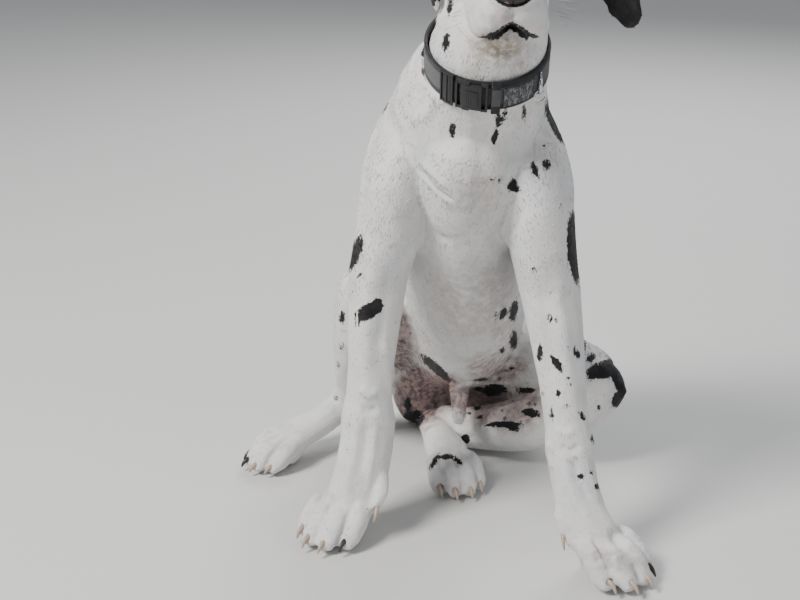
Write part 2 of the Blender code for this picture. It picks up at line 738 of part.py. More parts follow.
def eye_axes(side):
    """Return an eye's middle, the way that it looks, and the way across it, in cm."""
    turn = math.radians(EYE_TURN)
    centre = np.array((HEAD_X + side * EYE_SPREAD, EYE_Y, EYE_Z))
    gaze = np.array((side * math.sin(turn), -math.cos(turn), 0.06))
    across = np.array((math.cos(turn), side * math.sin(turn), 0))
    return centre, unit(gaze), across


def eyelid_rings(side, upper):
    """Return the rings of one lid, an arc over or under the gap in front of the eyeball."""
    centre, gaze, across = eye_axes(side)
    rings = []
    for turn in range(-90, 91, 30):
        swing = math.radians(turn)
        high = math.cos(swing) * (EYE_OPEN_HIGH + 0.12) * (1 if upper else -1)
        wide = math.sin(swing) * (EYE_OPEN_WIDE + 0.16)
        out = EYE_RADIUS * (0.93 - 0.42 * abs(math.sin(swing)) ** 2)
        place = centre + gaze * out + across * wide + np.array((0, 0, high))
        thick = 0.30 if upper else 0.25
        rings.append(Ring(*place, thick, thick, thick))
    return rings


def eye_gap(side):
    """Make the cutter that opens the lids in front of one eyeball."""
    centre, gaze, _ = eye_axes(side)
    rings = [Ring(*(centre + gaze * out), EYE_OPEN_WIDE, EYE_OPEN_HIGH, EYE_OPEN_HIGH)
             for out in (EYE_RADIUS * 0.4, EYE_RADIUS * 1.2, EYE_RADIUS * 2.4)]
    return loft("gap", rings, DOWN, sides=14, steps=1, dome=0.2, dome_angles=(45,))


def build_head():
    """Make the fused head without the jaw, nose leather, eyes and ears."""
    pieces = [
        loft("skull", SKULL, DOWN),
        loft("neck_top", NECK),
        loft("throat", THROAT),
    ]
    for side in (-1, 1):
        pieces.append(loft("cheek", mirrored(CHEEK, side), DOWN, sides=16))
        pieces.append(loft("brow", mirrored(BROW, side), DOWN, sides=16))
        pieces.append(loft("lip", mirrored(LIP, side), DOWN, sides=16))
        for upper in (False, True):
            pieces.append(loft("lid", eyelid_rings(side, upper), FRONT, sides=10, steps=3))
    return fuse("head", pieces, HEAD_VOXEL, 2, HEAD_TRIANGLES)


def build_body():
    """Make the fused body from the neck to the tail, with all four limbs."""
    lofts = [
        TRUNK, NECK, BREAST, SHOULDER_LEFT, FOREARM_LEFT, SHOULDER_RIGHT, FOREARM_RIGHT,
        THIGH_RIGHT, SHANK_RIGHT, THIGH_LEFT, SHANK_LEFT, *RUMP, TAIL, SHEATH,
    ]
    pieces = [loft("body_piece", rings) for rings in lofts]
    for rings in (HIND_PASTERN_LEFT, HIND_PASTERN_RIGHT):
        pieces.append(loft("body_piece", rings, DOWN))
    for name, foot in FEET.items():
        pieces.extend(foot_pieces(name, foot))
    for name, (toe, _) in DEWCLAWS.items():
        pieces.append(loft(name, toe, sides=14))
    return fuse("body", pieces, BODY_VOXEL, 4, BODY_TRIANGLES)


def collar_point(angle, out, up):
    """Return a point of the collar in centimetres.

    angle is in degrees from the front towards the dog's left, out is the distance from the
    strap's inner face and up is the distance above the collar's middle plane.
    """
    turn = math.radians(angle)
    across = (COLLAR_HALF_WIDTH + out) * math.sin(turn)
    ahead = (COLLAR_HALF_DEPTH + out) * math.cos(turn)
    rise, run = math.sin(COLLAR_TILT), math.cos(COLLAR_TILT)
    x, y, z = COLLAR_CENTRE
    return (x + across, y - ahead * run - up * rise, z - ahead * rise + up * run)


def band(name, start, end, inner, outer, low, high, step=7.5):
    """Make a bent plate round the collar, or a whole ring from 0 to 360 degrees."""
    closed = end - start >= 360
    count = max(2, round((end - start) / step))
    angles = [start + (end - start) * index / count for index in range(count + (not closed))]
    corners = ((inner, low), (outer, low), (outer, high), (inner, high))
    builder = bmesh.new()
    loops = []
    for angle in angles:
        points = [collar_point(angle, out, up) for out, up in corners]
        loops.append([builder.verts.new(Vector(point) * CM) for point in points])
    pairs = list(zip(loops, loops[1:]))
    if closed:
        pairs.append((loops[-1], loops[0]))
    else:
        builder.faces.new(loops[0])
        builder.faces.new(loops[-1])
    for before, after in pairs:
        for index in range(4):
            other = (index + 1) % 4
            builder.faces.new((before[index], before[other], after[other], after[index]))
    return new_object(name, builder)


def hoop(name, points, radius, sides=6):
    """Make a closed wire ring through points in one plane, all in centimetres."""
    path = [Vector(point) * CM for point in points]
    middle = sum(path, Vector()) / len(path)
    normal = (path[0] - middle).cross(path[len(path) // 4] - middle).normalized()
    builder = bmesh.new()
    loops = []
    for index, point in enumerate(path):
        along = (path[(index + 1) % len(path)] - path[index - 1]).normalized()
        beside = along.cross(normal)
        loop = []
        for turn in np.linspace(0, 2 * math.pi, sides, endpoint=False):
            offset = beside * math.cos(turn) + normal * math.sin(turn)
            loop.append(builder.verts.new(point + offset * radius * CM))
        loops.append(loop)
    for index, before in enumerate(loops):
        after = loops[(index + 1) % len(loops)]
        for corner in range(sides):
            other = (corner + 1) % sides
            builder.faces.new((before[corner], before[other], after[other], after[corner]))
    return new_object(name, builder)


def lead_rings():
    """Make the D-ring that stands out from the strap and the small ring that hangs on it."""
    ahead = Vector((0, -math.cos(COLLAR_TILT), -math.sin(COLLAR_TILT)))
    out = COLLAR_THICK + LEAD_RING_WIRE + 0.06

    def bow(angle):
        """Return the point of the D-ring's bow at an angle in degrees from its middle."""
        turn = math.radians(angle)
        base = Vector(collar_point(LEAD_RING_ANGLE, out, LEAD_RING_HALF * math.sin(turn)))
        return base + ahead * LEAD_RING_REACH * math.cos(turn)

    points = [collar_point(LEAD_RING_ANGLE, out, up)
              for up in np.linspace(-LEAD_RING_HALF, LEAD_RING_HALF, 4)]
    points += [bow(angle) for angle in np.linspace(75, -75, 9)]
    lead_ring = hoop("collar_lead_ring", points, LEAD_RING_WIRE)
    wire = bow(TAG_RING_AT)
    drop_by = TAG_RING_HALF - TAG_RING_WIRE - LEAD_RING_WIRE - 0.05
    points = []
    for turn in np.linspace(0, 2 * math.pi, 14, endpoint=False):
        points.append((wire.x + TAG_RING_HALF * math.cos(turn), wire.y,
                       wire.z - drop_by + TAG_RING_HALF * math.sin(turn)))
    return lead_ring, hoop("collar_tag_ring", points, TAG_RING_WIRE)


def build_collar():
    """Return the collar's pieces by name: strap, fittings and metal rings."""
    half = COLLAR_BAND / 2
    face = COLLAR_THICK + GAP / CM
    pieces = {
        "collar_strap": band("collar_strap", 0, 360, 0, COLLAR_THICK, -half, half),
        "collar_buckle": band("collar_buckle", -30, -2, face, face + 0.75, -half, half),
        "collar_slide": band("collar_slide", -47, -33, face, face + 0.35, -half - 0.2, half + 0.2),
        "collar_keeper": band("collar_keeper", 1, 9, face, face + 0.35, -half - 0.3, half + 0.3, 4),
        "collar_patch": band("collar_patch", 12, 43, face, face + 0.15, -half + 0.5, half - 0.9),
    }
    pieces["collar_lead_ring"], pieces["collar_tag_ring"] = lead_rings()
    return pieces


def build_nose():
    """Make the nose leather with its two comma-shaped nostrils."""
    nose = loft("nose", NOSE, DOWN, sides=14, steps=1, dome_angles=(25, 50, 72))
    nostrils = []
    for side in (-1, 1):
        rings = [Ring(HEAD_X + side * across, NOSE_TIP_Y + back, height, radius, radius, radius)
                 for across, back, height, radius in NOSTRIL]
        nostrils.append(loft("nostril", rings, DOWN, sides=8, steps=1, dome_angles=(45,)))
    cut(nose, nostrils)
    return nose


def name_islands(body, seeds):
    """Part a cut body into its closed pieces, and name each by the point inside it."""
    builder = bmesh.new()
    builder.from_mesh(body.data)
    groups = islands(builder)
    pieces = []
    for group in groups:
        corners = {vert: index for index, vert in enumerate(
            {vert for face in group for vert in face.verts})}
        points = [vert.co.copy() for vert in corners]
        faces = [[corners[vert] for vert in face.verts] for face in group]
        pieces.append((points, faces, BVHTree.FromPolygons(points, faces)))
    builder.free()
    drop([body])
    made = {}
    for name, seed in seeds.items():
        target = Vector(seed) * CM
        nearest = min(pieces, key=lambda piece: piece[2].find_nearest(target)[3])
        mesh = bpy.data.meshes.new(name)
        mesh.from_pydata(nearest[0], [], nearest[1])
        made[name] = bpy.data.objects.new(name, mesh)
        bpy.context.scene.collection.objects.link(made[name])
    return made


def finish(part, name):
    """Name the object, give it its material and put it in the model's collection."""
    part.name = name
    part.data.name = name
    kind = next(word for word in FINISHES if name.startswith(word))
    part.data.materials.clear()
    part.data.materials.append(material(*FINISHES[kind]))
    part.data.shade_smooth()
    for old in list(part.users_collection):
        old.objects.unlink(part)
    model_collection().objects.link(part)


def model_collection():
    """Return the collection that holds the model."""
    found = bpy.data.collections.get(MODEL)
    if found is None:
        found = bpy.data.collections.new(MODEL)
        bpy.context.scene.collection.children.link(found)
    return found


def material(name, colour, roughness, metallic):
    """Return the named Principled material, made at its first use."""
    found = bpy.data.materials.get(name)
    if found is None:
        found = bpy.data.materials.new(name)
        found.use_nodes = True
        shader = found.node_tree.nodes["Principled BSDF"]
        shader.inputs["Base Color"].default_value = (*colour, 1.0)
        shader.inputs["Roughness"].default_value = roughness
        shader.inputs["Metallic"].default_value = metallic
    return found


def rest_on_origin(parts):
    """Move the model so that the middle of its box stands over the origin."""
    corners = np.array([vert.co for part in parts for vert in part.data.vertices])
    low, high = corners.min(axis=0), corners.max(axis=0)
    middle = (low + high) / 2
    shift = Matrix.Translation((-middle[0], -middle[1], -low[2]))
    for part in parts:
        part.data.transform(shift)


def main():
    """Build the dog."""
    for old in list(bpy.data.objects):
        bpy.data.objects.remove(old)

    head = build_head()
    body = build_body()
    cut(head, [beside_neck_cut(-HALF_SPACE, HALF_SPACE)])
    above = beside_neck_cut(NECK_CUT_RADIUS - GAP / CM, NECK_CUT_RADIUS)
    floor = box("floor", (0, 0, -2 * HALF_SPACE), (0, 0, 1), [2 * HALF_SPACE] * 3)
    cut(body, [above])
    cut(body, [floor])
    keep_largest(head)
    keep_largest(body)
    parts = {name: take_out(body, name, *root) for name, root in ROOTS.items()}
    for slab in SLABS:
        cut(body, [box("slab", slab.point, slab.normal, (slab.wide, slab.high, GAP / CM / 2))])
    parts.update(name_islands(body, BODY_SEEDS))
    parts["head"] = head

    parts["jaw"] = loft("jaw", JAW, DOWN, sides=14, steps=1, dome_angles=(35, 65))
    cut(parts["jaw"], [beside_neck_cut(-HALF_SPACE, HALF_SPACE)])
    parts["nose"] = build_nose()
    fittings = [parts["jaw"], parts["nose"]]
    for label, side, rings in (("left", 1, EAR_LEFT), ("right", -1, EAR_RIGHT)):
        ear = loft(f"ear_{label}", mirrored(rings, side), (-0.6 * side, 0, -1), EAR_AIMS[label],
                   sides=12, steps=1, dome=1.0, dome_angles=(50,))
        eye = ball(f"eye_{label}", (HEAD_X + side * EYE_SPREAD, EYE_Y, EYE_Z), [EYE_RADIUS] * 3)
        parts[ear.name] = ear
        parts[eye.name] = eye
        fittings += [ear, eye]
    for fitting in fittings:
        cut(head, [swollen(fitting, GAP, "socket")])
    for side in (-1, 1):
        cut(head, [eye_gap(side)])
    for name, foot in FEET.items():
        claws = claw_objects(name, foot)
        if name in DEWCLAWS:
            claws.append(loft(name.replace("forepaw", "dewclaw"), DEWCLAWS[name][1], sides=6, steps=1,
                              dome=0.6, dome_angles=(45,)))
        cut(parts[name], [swollen(claw, GAP, "socket") for claw in claws])
        parts.update({claw.name: claw for claw in claws})
    collar = build_collar()
    cut(parts["neck"], [band("groove", 0, 360, -GAP / CM, COLLAR_THICK + 0.3,
                             -COLLAR_BAND / 2 - GAP / CM, COLLAR_BAND / 2 + GAP / CM)])
    parts.update(collar)
    for name, part in parts.items():
        clean(part)
        finish(part, name)
    rest_on_origin(parts.values())


main()
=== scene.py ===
"""A harlequin great dane puppy sitting on the floor: skin, coat, eyes, nose, claws and collar.

Lengths in the tables are centimetres of the modelling table, on which the dog faces -Y and its
left side is +X. table_point() turns them into metres of the row frame, where the meshes lie.
"""

import json
import logging
import math
from dataclasses import dataclass
from enum import Enum
from typing import Sequence

import bmesh
import bpy
import numpy as np
from bmesh.types import BMEdge, BMesh, BMVert
from bpy.types import Material, Mesh, NodeSocket, Object
from mathutils import Matrix, Vector
from mathutils.bvhtree import BVHTree
from mathutils.kdtree import KDTree

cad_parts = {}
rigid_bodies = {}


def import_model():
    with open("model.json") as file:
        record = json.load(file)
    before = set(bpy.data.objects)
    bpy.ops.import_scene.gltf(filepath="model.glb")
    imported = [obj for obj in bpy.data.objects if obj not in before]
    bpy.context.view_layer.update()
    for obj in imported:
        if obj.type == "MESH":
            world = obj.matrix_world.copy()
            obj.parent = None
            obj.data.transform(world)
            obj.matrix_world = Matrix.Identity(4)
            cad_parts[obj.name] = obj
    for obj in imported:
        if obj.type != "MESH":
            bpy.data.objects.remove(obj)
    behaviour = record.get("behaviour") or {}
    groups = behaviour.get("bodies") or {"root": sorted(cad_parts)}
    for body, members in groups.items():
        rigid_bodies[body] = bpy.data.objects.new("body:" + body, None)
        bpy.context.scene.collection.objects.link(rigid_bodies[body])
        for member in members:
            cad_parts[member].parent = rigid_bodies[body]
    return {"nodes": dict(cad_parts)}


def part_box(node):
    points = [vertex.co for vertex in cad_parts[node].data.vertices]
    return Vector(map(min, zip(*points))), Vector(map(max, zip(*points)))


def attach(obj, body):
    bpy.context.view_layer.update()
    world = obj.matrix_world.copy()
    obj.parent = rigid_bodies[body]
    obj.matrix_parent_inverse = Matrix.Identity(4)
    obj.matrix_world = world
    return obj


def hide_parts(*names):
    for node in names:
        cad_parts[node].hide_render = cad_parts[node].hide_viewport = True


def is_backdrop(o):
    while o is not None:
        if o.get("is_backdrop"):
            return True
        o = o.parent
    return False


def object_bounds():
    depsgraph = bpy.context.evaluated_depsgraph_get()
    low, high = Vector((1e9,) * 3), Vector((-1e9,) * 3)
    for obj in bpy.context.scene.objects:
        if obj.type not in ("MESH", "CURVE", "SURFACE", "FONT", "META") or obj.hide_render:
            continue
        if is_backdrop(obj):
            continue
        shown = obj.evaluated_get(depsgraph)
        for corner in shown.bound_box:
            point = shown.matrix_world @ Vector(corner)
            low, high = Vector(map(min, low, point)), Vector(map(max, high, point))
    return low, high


for leftover in list(bpy.data.objects):
    bpy.data.objects.remove(leftover)
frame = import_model()
CAD_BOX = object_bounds()

logging.basicConfig(level=logging.INFO, format="%(relativeCreated)7d ms  %(message)s")
LOG = logging.getLogger("great_dane")

# A place or a colour, and an area of the photo with its strength
Triple = tuple[float, float, float]
Area = tuple[float, float, float, float, float]

CM = 0.01
MM = 0.001
# The table's origin in the row frame, in metres
PLACE = np.array((-0.04675, -0.21748, 0.0))
BODY = "root"
SEED = 11
# Points nearer to each other than this many metres are one
WELD = 1e-6

# Middle plane of the head, the eyes and the nose, in centimetres of the table and in degrees
HEAD_X = 11.3
EYE_RADIUS = 1.12
EYE_SPREAD = 3.5
EYE_Y = -8.45
EYE_Z = 77.6
EYE_TURN = 28.0
NOSE_MIDDLE = (HEAD_X, -19.0, 74.4)
NOSE_SHAPE = np.array((1.0, 1.25, 0.85))
NOSE_REACH = 2.7 * CM

# Nodes that the skin covers
FORE_LIMB = ("shoulder", "foreleg", "forepaw")
HIND_LIMB = ("thigh", "shank", "hind_foot")
FLESH = ("head", "jaw", "neck", "chest", "belly", "tail_root", "tail_tip", "ear_left", "ear_right",
         *(f"{limb}_{side}" for limb in FORE_LIMB + HIND_LIMB for side in ("left", "right")))


def table_point(point: Sequence[float]) -> np.ndarray:
    """Turn centimetres of the modelling table into metres of the row frame.

    Args:
        point: one point, or rows of points.

    Returns:
        The same points in metres.
    """
    return np.asarray(point, dtype=float) * CM + PLACE


def unit(vectors: np.ndarray) -> np.ndarray:
    """Return the vector, or each row of vectors, at length 1."""
    vectors = np.asarray(vectors, dtype=float)
    length = np.linalg.norm(vectors, axis=-1, keepdims=True)
    return vectors / np.maximum(length, 1e-12)


def table_y(y: float) -> float:
    """Return a Y of the modelling table, in centimetres, as a Y of the row frame in metres."""
    return table_point((0, y, 0))[1]


def apart(points: np.ndarray, place: np.ndarray) -> np.ndarray:
    """Return each point's distance from a place."""
    return np.linalg.norm(points - place, axis=1)


def nose_distance(points: np.ndarray) -> np.ndarray:
    """Return each point's distance from the nose's middle, measured in the nose's shape."""
    return np.linalg.norm((points - table_point(NOSE_MIDDLE)) / NOSE_SHAPE, axis=1)


def smooth_step(values: np.ndarray, low: float, high: float) -> np.ndarray:
    """Return 0 below low and 1 above high, with a smooth rise between them."""
    share = np.clip((values - low) / (high - low), 0.0, 1.0)
    return share * share * (3.0 - 2.0 * share)


# Mesh tools


def mesh_from_arrays(name: str, points: np.ndarray, faces: np.ndarray) -> Mesh:
    """Make a mesh from rows of points and rows of faces with equal numbers of corners.

    Args:
        name: the mesh's name.
        points: N rows of X, Y and Z in metres.
        faces: M rows of point numbers, 3 or 4 to a row.

    Returns:
        The new mesh, smooth shaded.
    """
    mesh = bpy.data.meshes.new(name)
    count, corners = faces.shape
    mesh.vertices.add(len(points))
    mesh.vertices.foreach_set("co", np.ascontiguousarray(points, dtype=np.float32).ravel())
    mesh.loops.add(count * corners)
    mesh.loops.foreach_set("vertex_index", np.ascontiguousarray(faces, dtype=np.int32).ravel())
    mesh.polygons.add(count)
    mesh.polygons.foreach_set("loop_start", np.arange(count, dtype=np.int32) * corners)
    shade_smooth(mesh)
    mesh.update(calc_edges=True)
    return mesh


def shade_smooth(mesh: Mesh) -> None:
    """Shade all faces of the mesh smooth."""
    mesh.polygons.foreach_set("use_smooth", np.ones(len(mesh.polygons), dtype=bool))


def add_object(name: str, data: bpy.types.ID) -> Object:
    """Link a new object that shows a mesh, a lamp or a camera, at the origin, and return it."""
    made = bpy.data.objects.new(name, data)
    bpy.context.scene.collection.objects.link(made)
    return made


def finish_piece(name: str, mesh: Mesh, material: Material, slot: str,
                 *nodes: str) -> Object:
    """Make a finished mesh a piece of the dog.

    Args:
        name: the piece's name.
        mesh: its shape.
        material: its only material.
        slot: the name of a material slot; not used.
        nodes: the nodes of the solids that it stands for, if any.

    Returns:
        The piece's object.
    """
    mesh.name = name
    mesh.materials.clear()
    mesh.materials.append(material)
    made = add_object(name, mesh)
    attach(made, BODY)
    if nodes:
        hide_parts(*nodes)
    return made


def opened(mesh: Mesh, weld: bool = False) -> BMesh:
    """Return a builder that holds the mesh's shape, with double points welded if asked."""
    builder = bmesh.new()
    builder.from_mesh(mesh)
    if weld:
        bmesh.ops.remove_doubles(builder, verts=builder.verts, dist=WELD)
    builder.verts.ensure_lookup_table()
    return builder


def closed(builder: BMesh, mesh: Mesh) -> Mesh:
    """Write a builder's shape into the mesh, free the builder and return the mesh."""
    builder.to_mesh(mesh)
    builder.free()
    return mesh


def in_triangles(builder: BMesh) -> None:
    """Cut all larger faces of the builder into triangles."""
    bmesh.ops.triangulate(builder, faces=[face for face in builder.faces if len(face.verts) > 3])


def join_rings(builder: BMesh, rings: Sequence[list[BMVert]]) -> None:
    """Fill the space between each ring of points and the next with faces."""
    for before, after in zip(rings, rings[1:]):
        for index in range(len(before)):
            other = (index + 1) % len(before)
            builder.faces.new((before[index], before[other], after[other], after[index]))


def one_surface(mesh: Mesh, voxel: float) -> Mesh:
    """Return the largest closed surface round the mesh's shapes, in quads of a voxel's size."""
    rough = add_object("rough", mesh)
    remesh = rough.modifiers.new("one_surface", "REMESH")
    remesh.mode = "VOXEL"
    remesh.voxel_size = voxel
    return largest_surface(bake_modifiers(rough))


def bake_modifiers(source: Object) -> Mesh:
    """Return the source's mesh with its modifiers applied, and remove the source."""
    bpy.context.view_layer.update()
    graph = bpy.context.evaluated_depsgraph_get()
    mesh = bpy.data.meshes.new_from_object(source.evaluated_get(graph))
    bpy.data.objects.remove(source)
    return mesh


def read_rows(items: Sequence[object], key: str, width: int, kind: type = np.float32) -> np.ndarray:
    """Return what each item of a mesh says under the key, as rows of so many numbers."""
    values = np.empty(len(items) * width, dtype=kind)
    items.foreach_get(key, values)
    return values.reshape(-1, width)


def points_of(mesh: Mesh) -> np.ndarray:
    """Return the mesh's points as N rows of X, Y and Z."""
    return read_rows(mesh.vertices, "co", 3).astype(float)


def normals_of(mesh: Mesh) -> np.ndarray:
    """Return the outward normal at each point of the mesh."""
    return read_rows(mesh.vertex_normals, "vector", 3).astype(float)


def set_points(mesh: Mesh, points: np.ndarray) -> None:
    """Move the mesh's points to the rows given."""
    mesh.vertices.foreach_set("co", points.astype(np.float32).ravel())
    mesh.update()


def edges_of(mesh: Mesh) -> np.ndarray:
    """Return the two ends of each edge of the mesh."""
    return read_rows(mesh.edges, "vertices", 2, np.int32)


class Neighbours:
    """Averages over the edge neighbours of each point of a mesh."""

    def __init__(self, mesh: Mesh) -> None:
        """Read the mesh's edges."""
        ends = edges_of(mesh)
        self.near = np.concatenate((ends[:, 0], ends[:, 1]))
        self.far = np.concatenate((ends[:, 1], ends[:, 0]))
        self.total = len(mesh.vertices)
        self.count = np.maximum(np.bincount(self.near, minlength=self.total), 1)

    def average(self, values: np.ndarray) -> np.ndarray:
        """Return the mean of each point's neighbours, for one or more columns of values."""
        if values.ndim == 1:
            sums = np.bincount(self.near, weights=values[self.far], minlength=self.total)
            return sums / self.count
        return np.stack([self.average(column) for column in values.T], axis=1)

    def spread(self, values: np.ndarray, rounds: int) -> np.ndarray:
        """Blur values over the surface by that many rounds of averaging."""
        for _ in range(rounds):
            values = 0.5 * values + 0.5 * self.average(values)
        return values

    def fair(self, points: np.ndarray, weight: np.ndarray, rounds: int) -> np.ndarray:
        """Smooth points without shrinking them.

        Args:
            points: rows of points.
            weight: how much each point may move, 0 to 1.
            rounds: pairs of a shrinking and a growing pass.

        Returns:
            The smoothed points.
        """
        for _ in range(rounds):
            for step in (0.52, -0.53):
                points = points + (self.average(points) - points) * (weight * step)[:, None]
        return points


def largest_surface(mesh: Mesh) -> Mesh:
    """Keep the largest connected surface of a mesh.

    Args:
        mesh: a mesh of quads.

    Returns:
        A new mesh of that surface alone.
    """
    ends = edges_of(mesh)
    label = np.arange(len(mesh.vertices))
    while True:
        low = np.minimum(label[ends[:, 0]], label[ends[:, 1]])
        before = label.copy()
        np.minimum.at(label, ends[:, 0], low)
        np.minimum.at(label, ends[:, 1], low)
        label = label[label]
        if np.array_equal(before, label):
            break
    keep = label == np.bincount(label).argmax()
    faces = read_rows(mesh.loops, "vertex_index", 1, np.int32).reshape(-1, 4)
    number = np.cumsum(keep) - 1
    faces = number[faces[keep[faces[:, 0]]]]
    return mesh_from_arrays(mesh.name, points_of(mesh)[keep], faces)


def tree_of(mesh: Mesh) -> BVHTree:
    """Return a tree of the mesh's faces for finding places on it."""
    corners = [vert.co for vert in mesh.vertices]
    return BVHTree.FromPolygons(corners, [tuple(face.vertices) for face in mesh.polygons])


def write_attribute(mesh: Mesh, name: str, values: np.ndarray) -> None:
    """Store a number or a vector for each point of the mesh, read from an array."""
    kind, key = ("FLOAT", "value") if values.ndim == 1 else ("FLOAT_VECTOR", "vector")
    layer = mesh.attributes.get(name) or mesh.attributes.new(name, kind, "POINT")
    layer.data.foreach_set(key, np.ascontiguousarray(values, dtype=np.float32).ravel())


# The photo's camera, stage and lights


@dataclass(frozen=True)
class PhotoCamera:
    """The camera of the photo: its place, how far it looks down, and its focal length."""

    eye: Triple = (-0.04675, -1.8375, 0.93)
    down: float = 20.0
    focal_px: float = 1400.0
    frame_px: tuple[int, int] = (800, 600)
    sensor_mm: float = 36.0

    def axes(self) -> tuple[np.ndarray, np.ndarray, np.ndarray]:
        """Return the directions to the picture's right, to its top, and ahead."""
        turn = math.radians(self.down)
        ahead = np.array((0.0, math.cos(turn), -math.sin(turn)))
        top = np.array((0.0, math.sin(turn), math.cos(turn)))
        return np.array((1.0, 0.0, 0.0)), top, ahead

    def ray(self, column: float, row: float) -> np.ndarray:
        """Return the direction in which the camera sees a pixel of the photo."""
        right, top, ahead = self.axes()
        across = (column - self.frame_px[0] / 2) / self.focal_px
        up = (self.frame_px[1] / 2 - row) / self.focal_px
        return unit(ahead + right * across + top * up)

    def pixels(self, points: np.ndarray) -> tuple[np.ndarray, np.ndarray]:
        """Return the pixel column and row at which the camera sees each point."""
        right, top, ahead = self.axes()
        offset = points - np.array(self.eye)
        depth = offset @ ahead
        column = self.frame_px[0] / 2 + self.focal_px * (offset @ right) / depth
        row = self.frame_px[1] / 2 - self.focal_px * (offset @ top) / depth
        return column, row

    def turned_away(self, points: np.ndarray, normals: np.ndarray) -> np.ndarray:
        """Return how far each normal points away from the camera, -1 to 1."""
        return (normals * unit(points - np.array(self.eye))).sum(axis=1)

    def build(self) -> None:
        """Make the scene's camera."""
        data = bpy.data.cameras.new("photo_camera")
        data.sensor_width = self.sensor_mm
        data.lens = self.focal_px / self.frame_px[0] * self.sensor_mm
        made = add_object("photo_camera", data)
        made.location = self.eye
        made.rotation_euler = (math.radians(90.0 - self.down), 0.0, 0.0)
        bpy.context.scene.camera = made


@dataclass(frozen=True)
class SoftLight:
    """One square lamp: its place, what it looks at, its side and its power."""

    name: str
    place: Triple
    side: float
    watts: float
    colour: Triple = (1.0, 1.0, 1.0)
    target: Triple = (0.0, 0.0, 0.4)

    def build(self) -> None:
        """Make the lamp."""
        data = bpy.data.lights.new(self.name, "AREA")
        data.shape = "SQUARE"
        data.size = self.side
        data.energy = self.watts
        data.color = self.colour
        made = add_object(self.name, data)
        made.location = self.place
        aim = Vector(self.target) - Vector(self.place)
        made.rotation_euler = aim.to_track_quat("-Z", "Y").to_euler()


@dataclass(frozen=True)
class Stage:
    """The pale floor with its soft studio light."""

    half_side: float = 6.0
    sky_colour: tuple[float, float, float, float] = (0.9, 0.93, 1.0, 1.0)
    sky: float = 0.34
    lights: tuple[SoftLight, ...] = (
        SoftLight("key_light", (-2.1, -1.6, 2.9), 1.1, 185.0, (1.0, 0.98, 0.95)),
        SoftLight("fill_light", (2.6, -1.8, 1.5), 2.2, 22.0, (0.95, 0.98, 1.0)),
        SoftLight("back_light", (0.9, 2.6, 2.4), 1.6, 70.0),
    )

    def build(self) -> None:
        """Make the floor, its material, the sky and the lamps."""
        half = self.half_side
        corners = np.array(((-half, -half, 0), (half, -half, 0), (half, half, 0), (-half, half, 0)))
        floor = add_object("floor", mesh_from_arrays("floor", corners, np.array(((0, 1, 2, 3),))))
        floor.data.materials.append(FloorFinish().build("floor_paint"))
        floor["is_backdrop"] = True
        world = bpy.data.worlds.new("studio")
        world.use_nodes = True
        background = world.node_tree.nodes["Background"].inputs
        background["Color"].default_value = self.sky_colour
        background["Strength"].default_value = self.sky
        bpy.context.scene.world = world
        for light in self.lights:
            light.build()


# The lie of the coat


@dataclass(frozen=True)
class Chain:
    """A line through a run of nodes, from where their hair starts to where it ends."""

    nodes: tuple[str, ...]
    path: tuple[Triple, ...]

    def frames(self) -> tuple[np.ndarray, np.ndarray, np.ndarray, np.ndarray]:
        """Return the line's points and, at each, its direction and two steady cross directions."""
        points = table_point(self.path)
        along = unit(np.gradient(points, axis=0))
        first = unit(np.cross(along[0], (0.3, 0.2, 0.93) if abs(along[0][0]) > 0.7 else (1, 0, 0)))
        across = [first]
        for direction in along[1:]:
            across.append(unit(across[-1] - direction * across[-1].dot(direction)))
        across = np.array(across)
        return points, along, across, np.cross(along, across)

    def locate(self, points: np.ndarray) -> tuple[np.ndarray, np.ndarray]:
        """Find where points lie beside the line.

        Args:
            points: rows of points.

        Returns:
            The hair's direction at each point, and its place as two cross offsets and the
            distance run along the line.
        """
        knots, along, across, beside = self.frames()
        run = np.concatenate(((0.0,), np.cumsum(np.linalg.norm(np.diff(knots, axis=0), axis=1))))
        best = np.full(len(points), np.inf)
        direction = np.zeros((len(points), 3))
        place = np.zeros((len(points), 3))
        for number in range(len(knots) - 1):
            start, step = knots[number], knots[number + 1] - knots[number]
            share = np.clip((points - start) @ step / step.dot(step), 0.0, 1.0)[:, None]
            offset = points - (start + share * step)
            distance = np.linalg.norm(offset, axis=1)
            nearer = distance < best
            mixed = [(1 - share) * part[number] + share * part[number + 1]
                     for part in (along, across, beside)]
            found = np.stack((
                (offset * mixed[1]).sum(axis=1),
                (offset * mixed[2]).sum(axis=1),
                run[number] + share[:, 0] * (run[number + 1] - run[number]),
            ), axis=1)
            direction[nearer] = mixed[0][nearer]
            place[nearer] = found[nearer]
            best = np.minimum(best, distance)
        return direction, place


def limb_chain(parts: tuple[str, ...], side: str,
               path: tuple[Triple, ...]) -> Chain:
    """Return the chain of one limb from the names of its parts and its side."""
    return Chain(tuple(f"{part}_{side}" for part in parts), path)


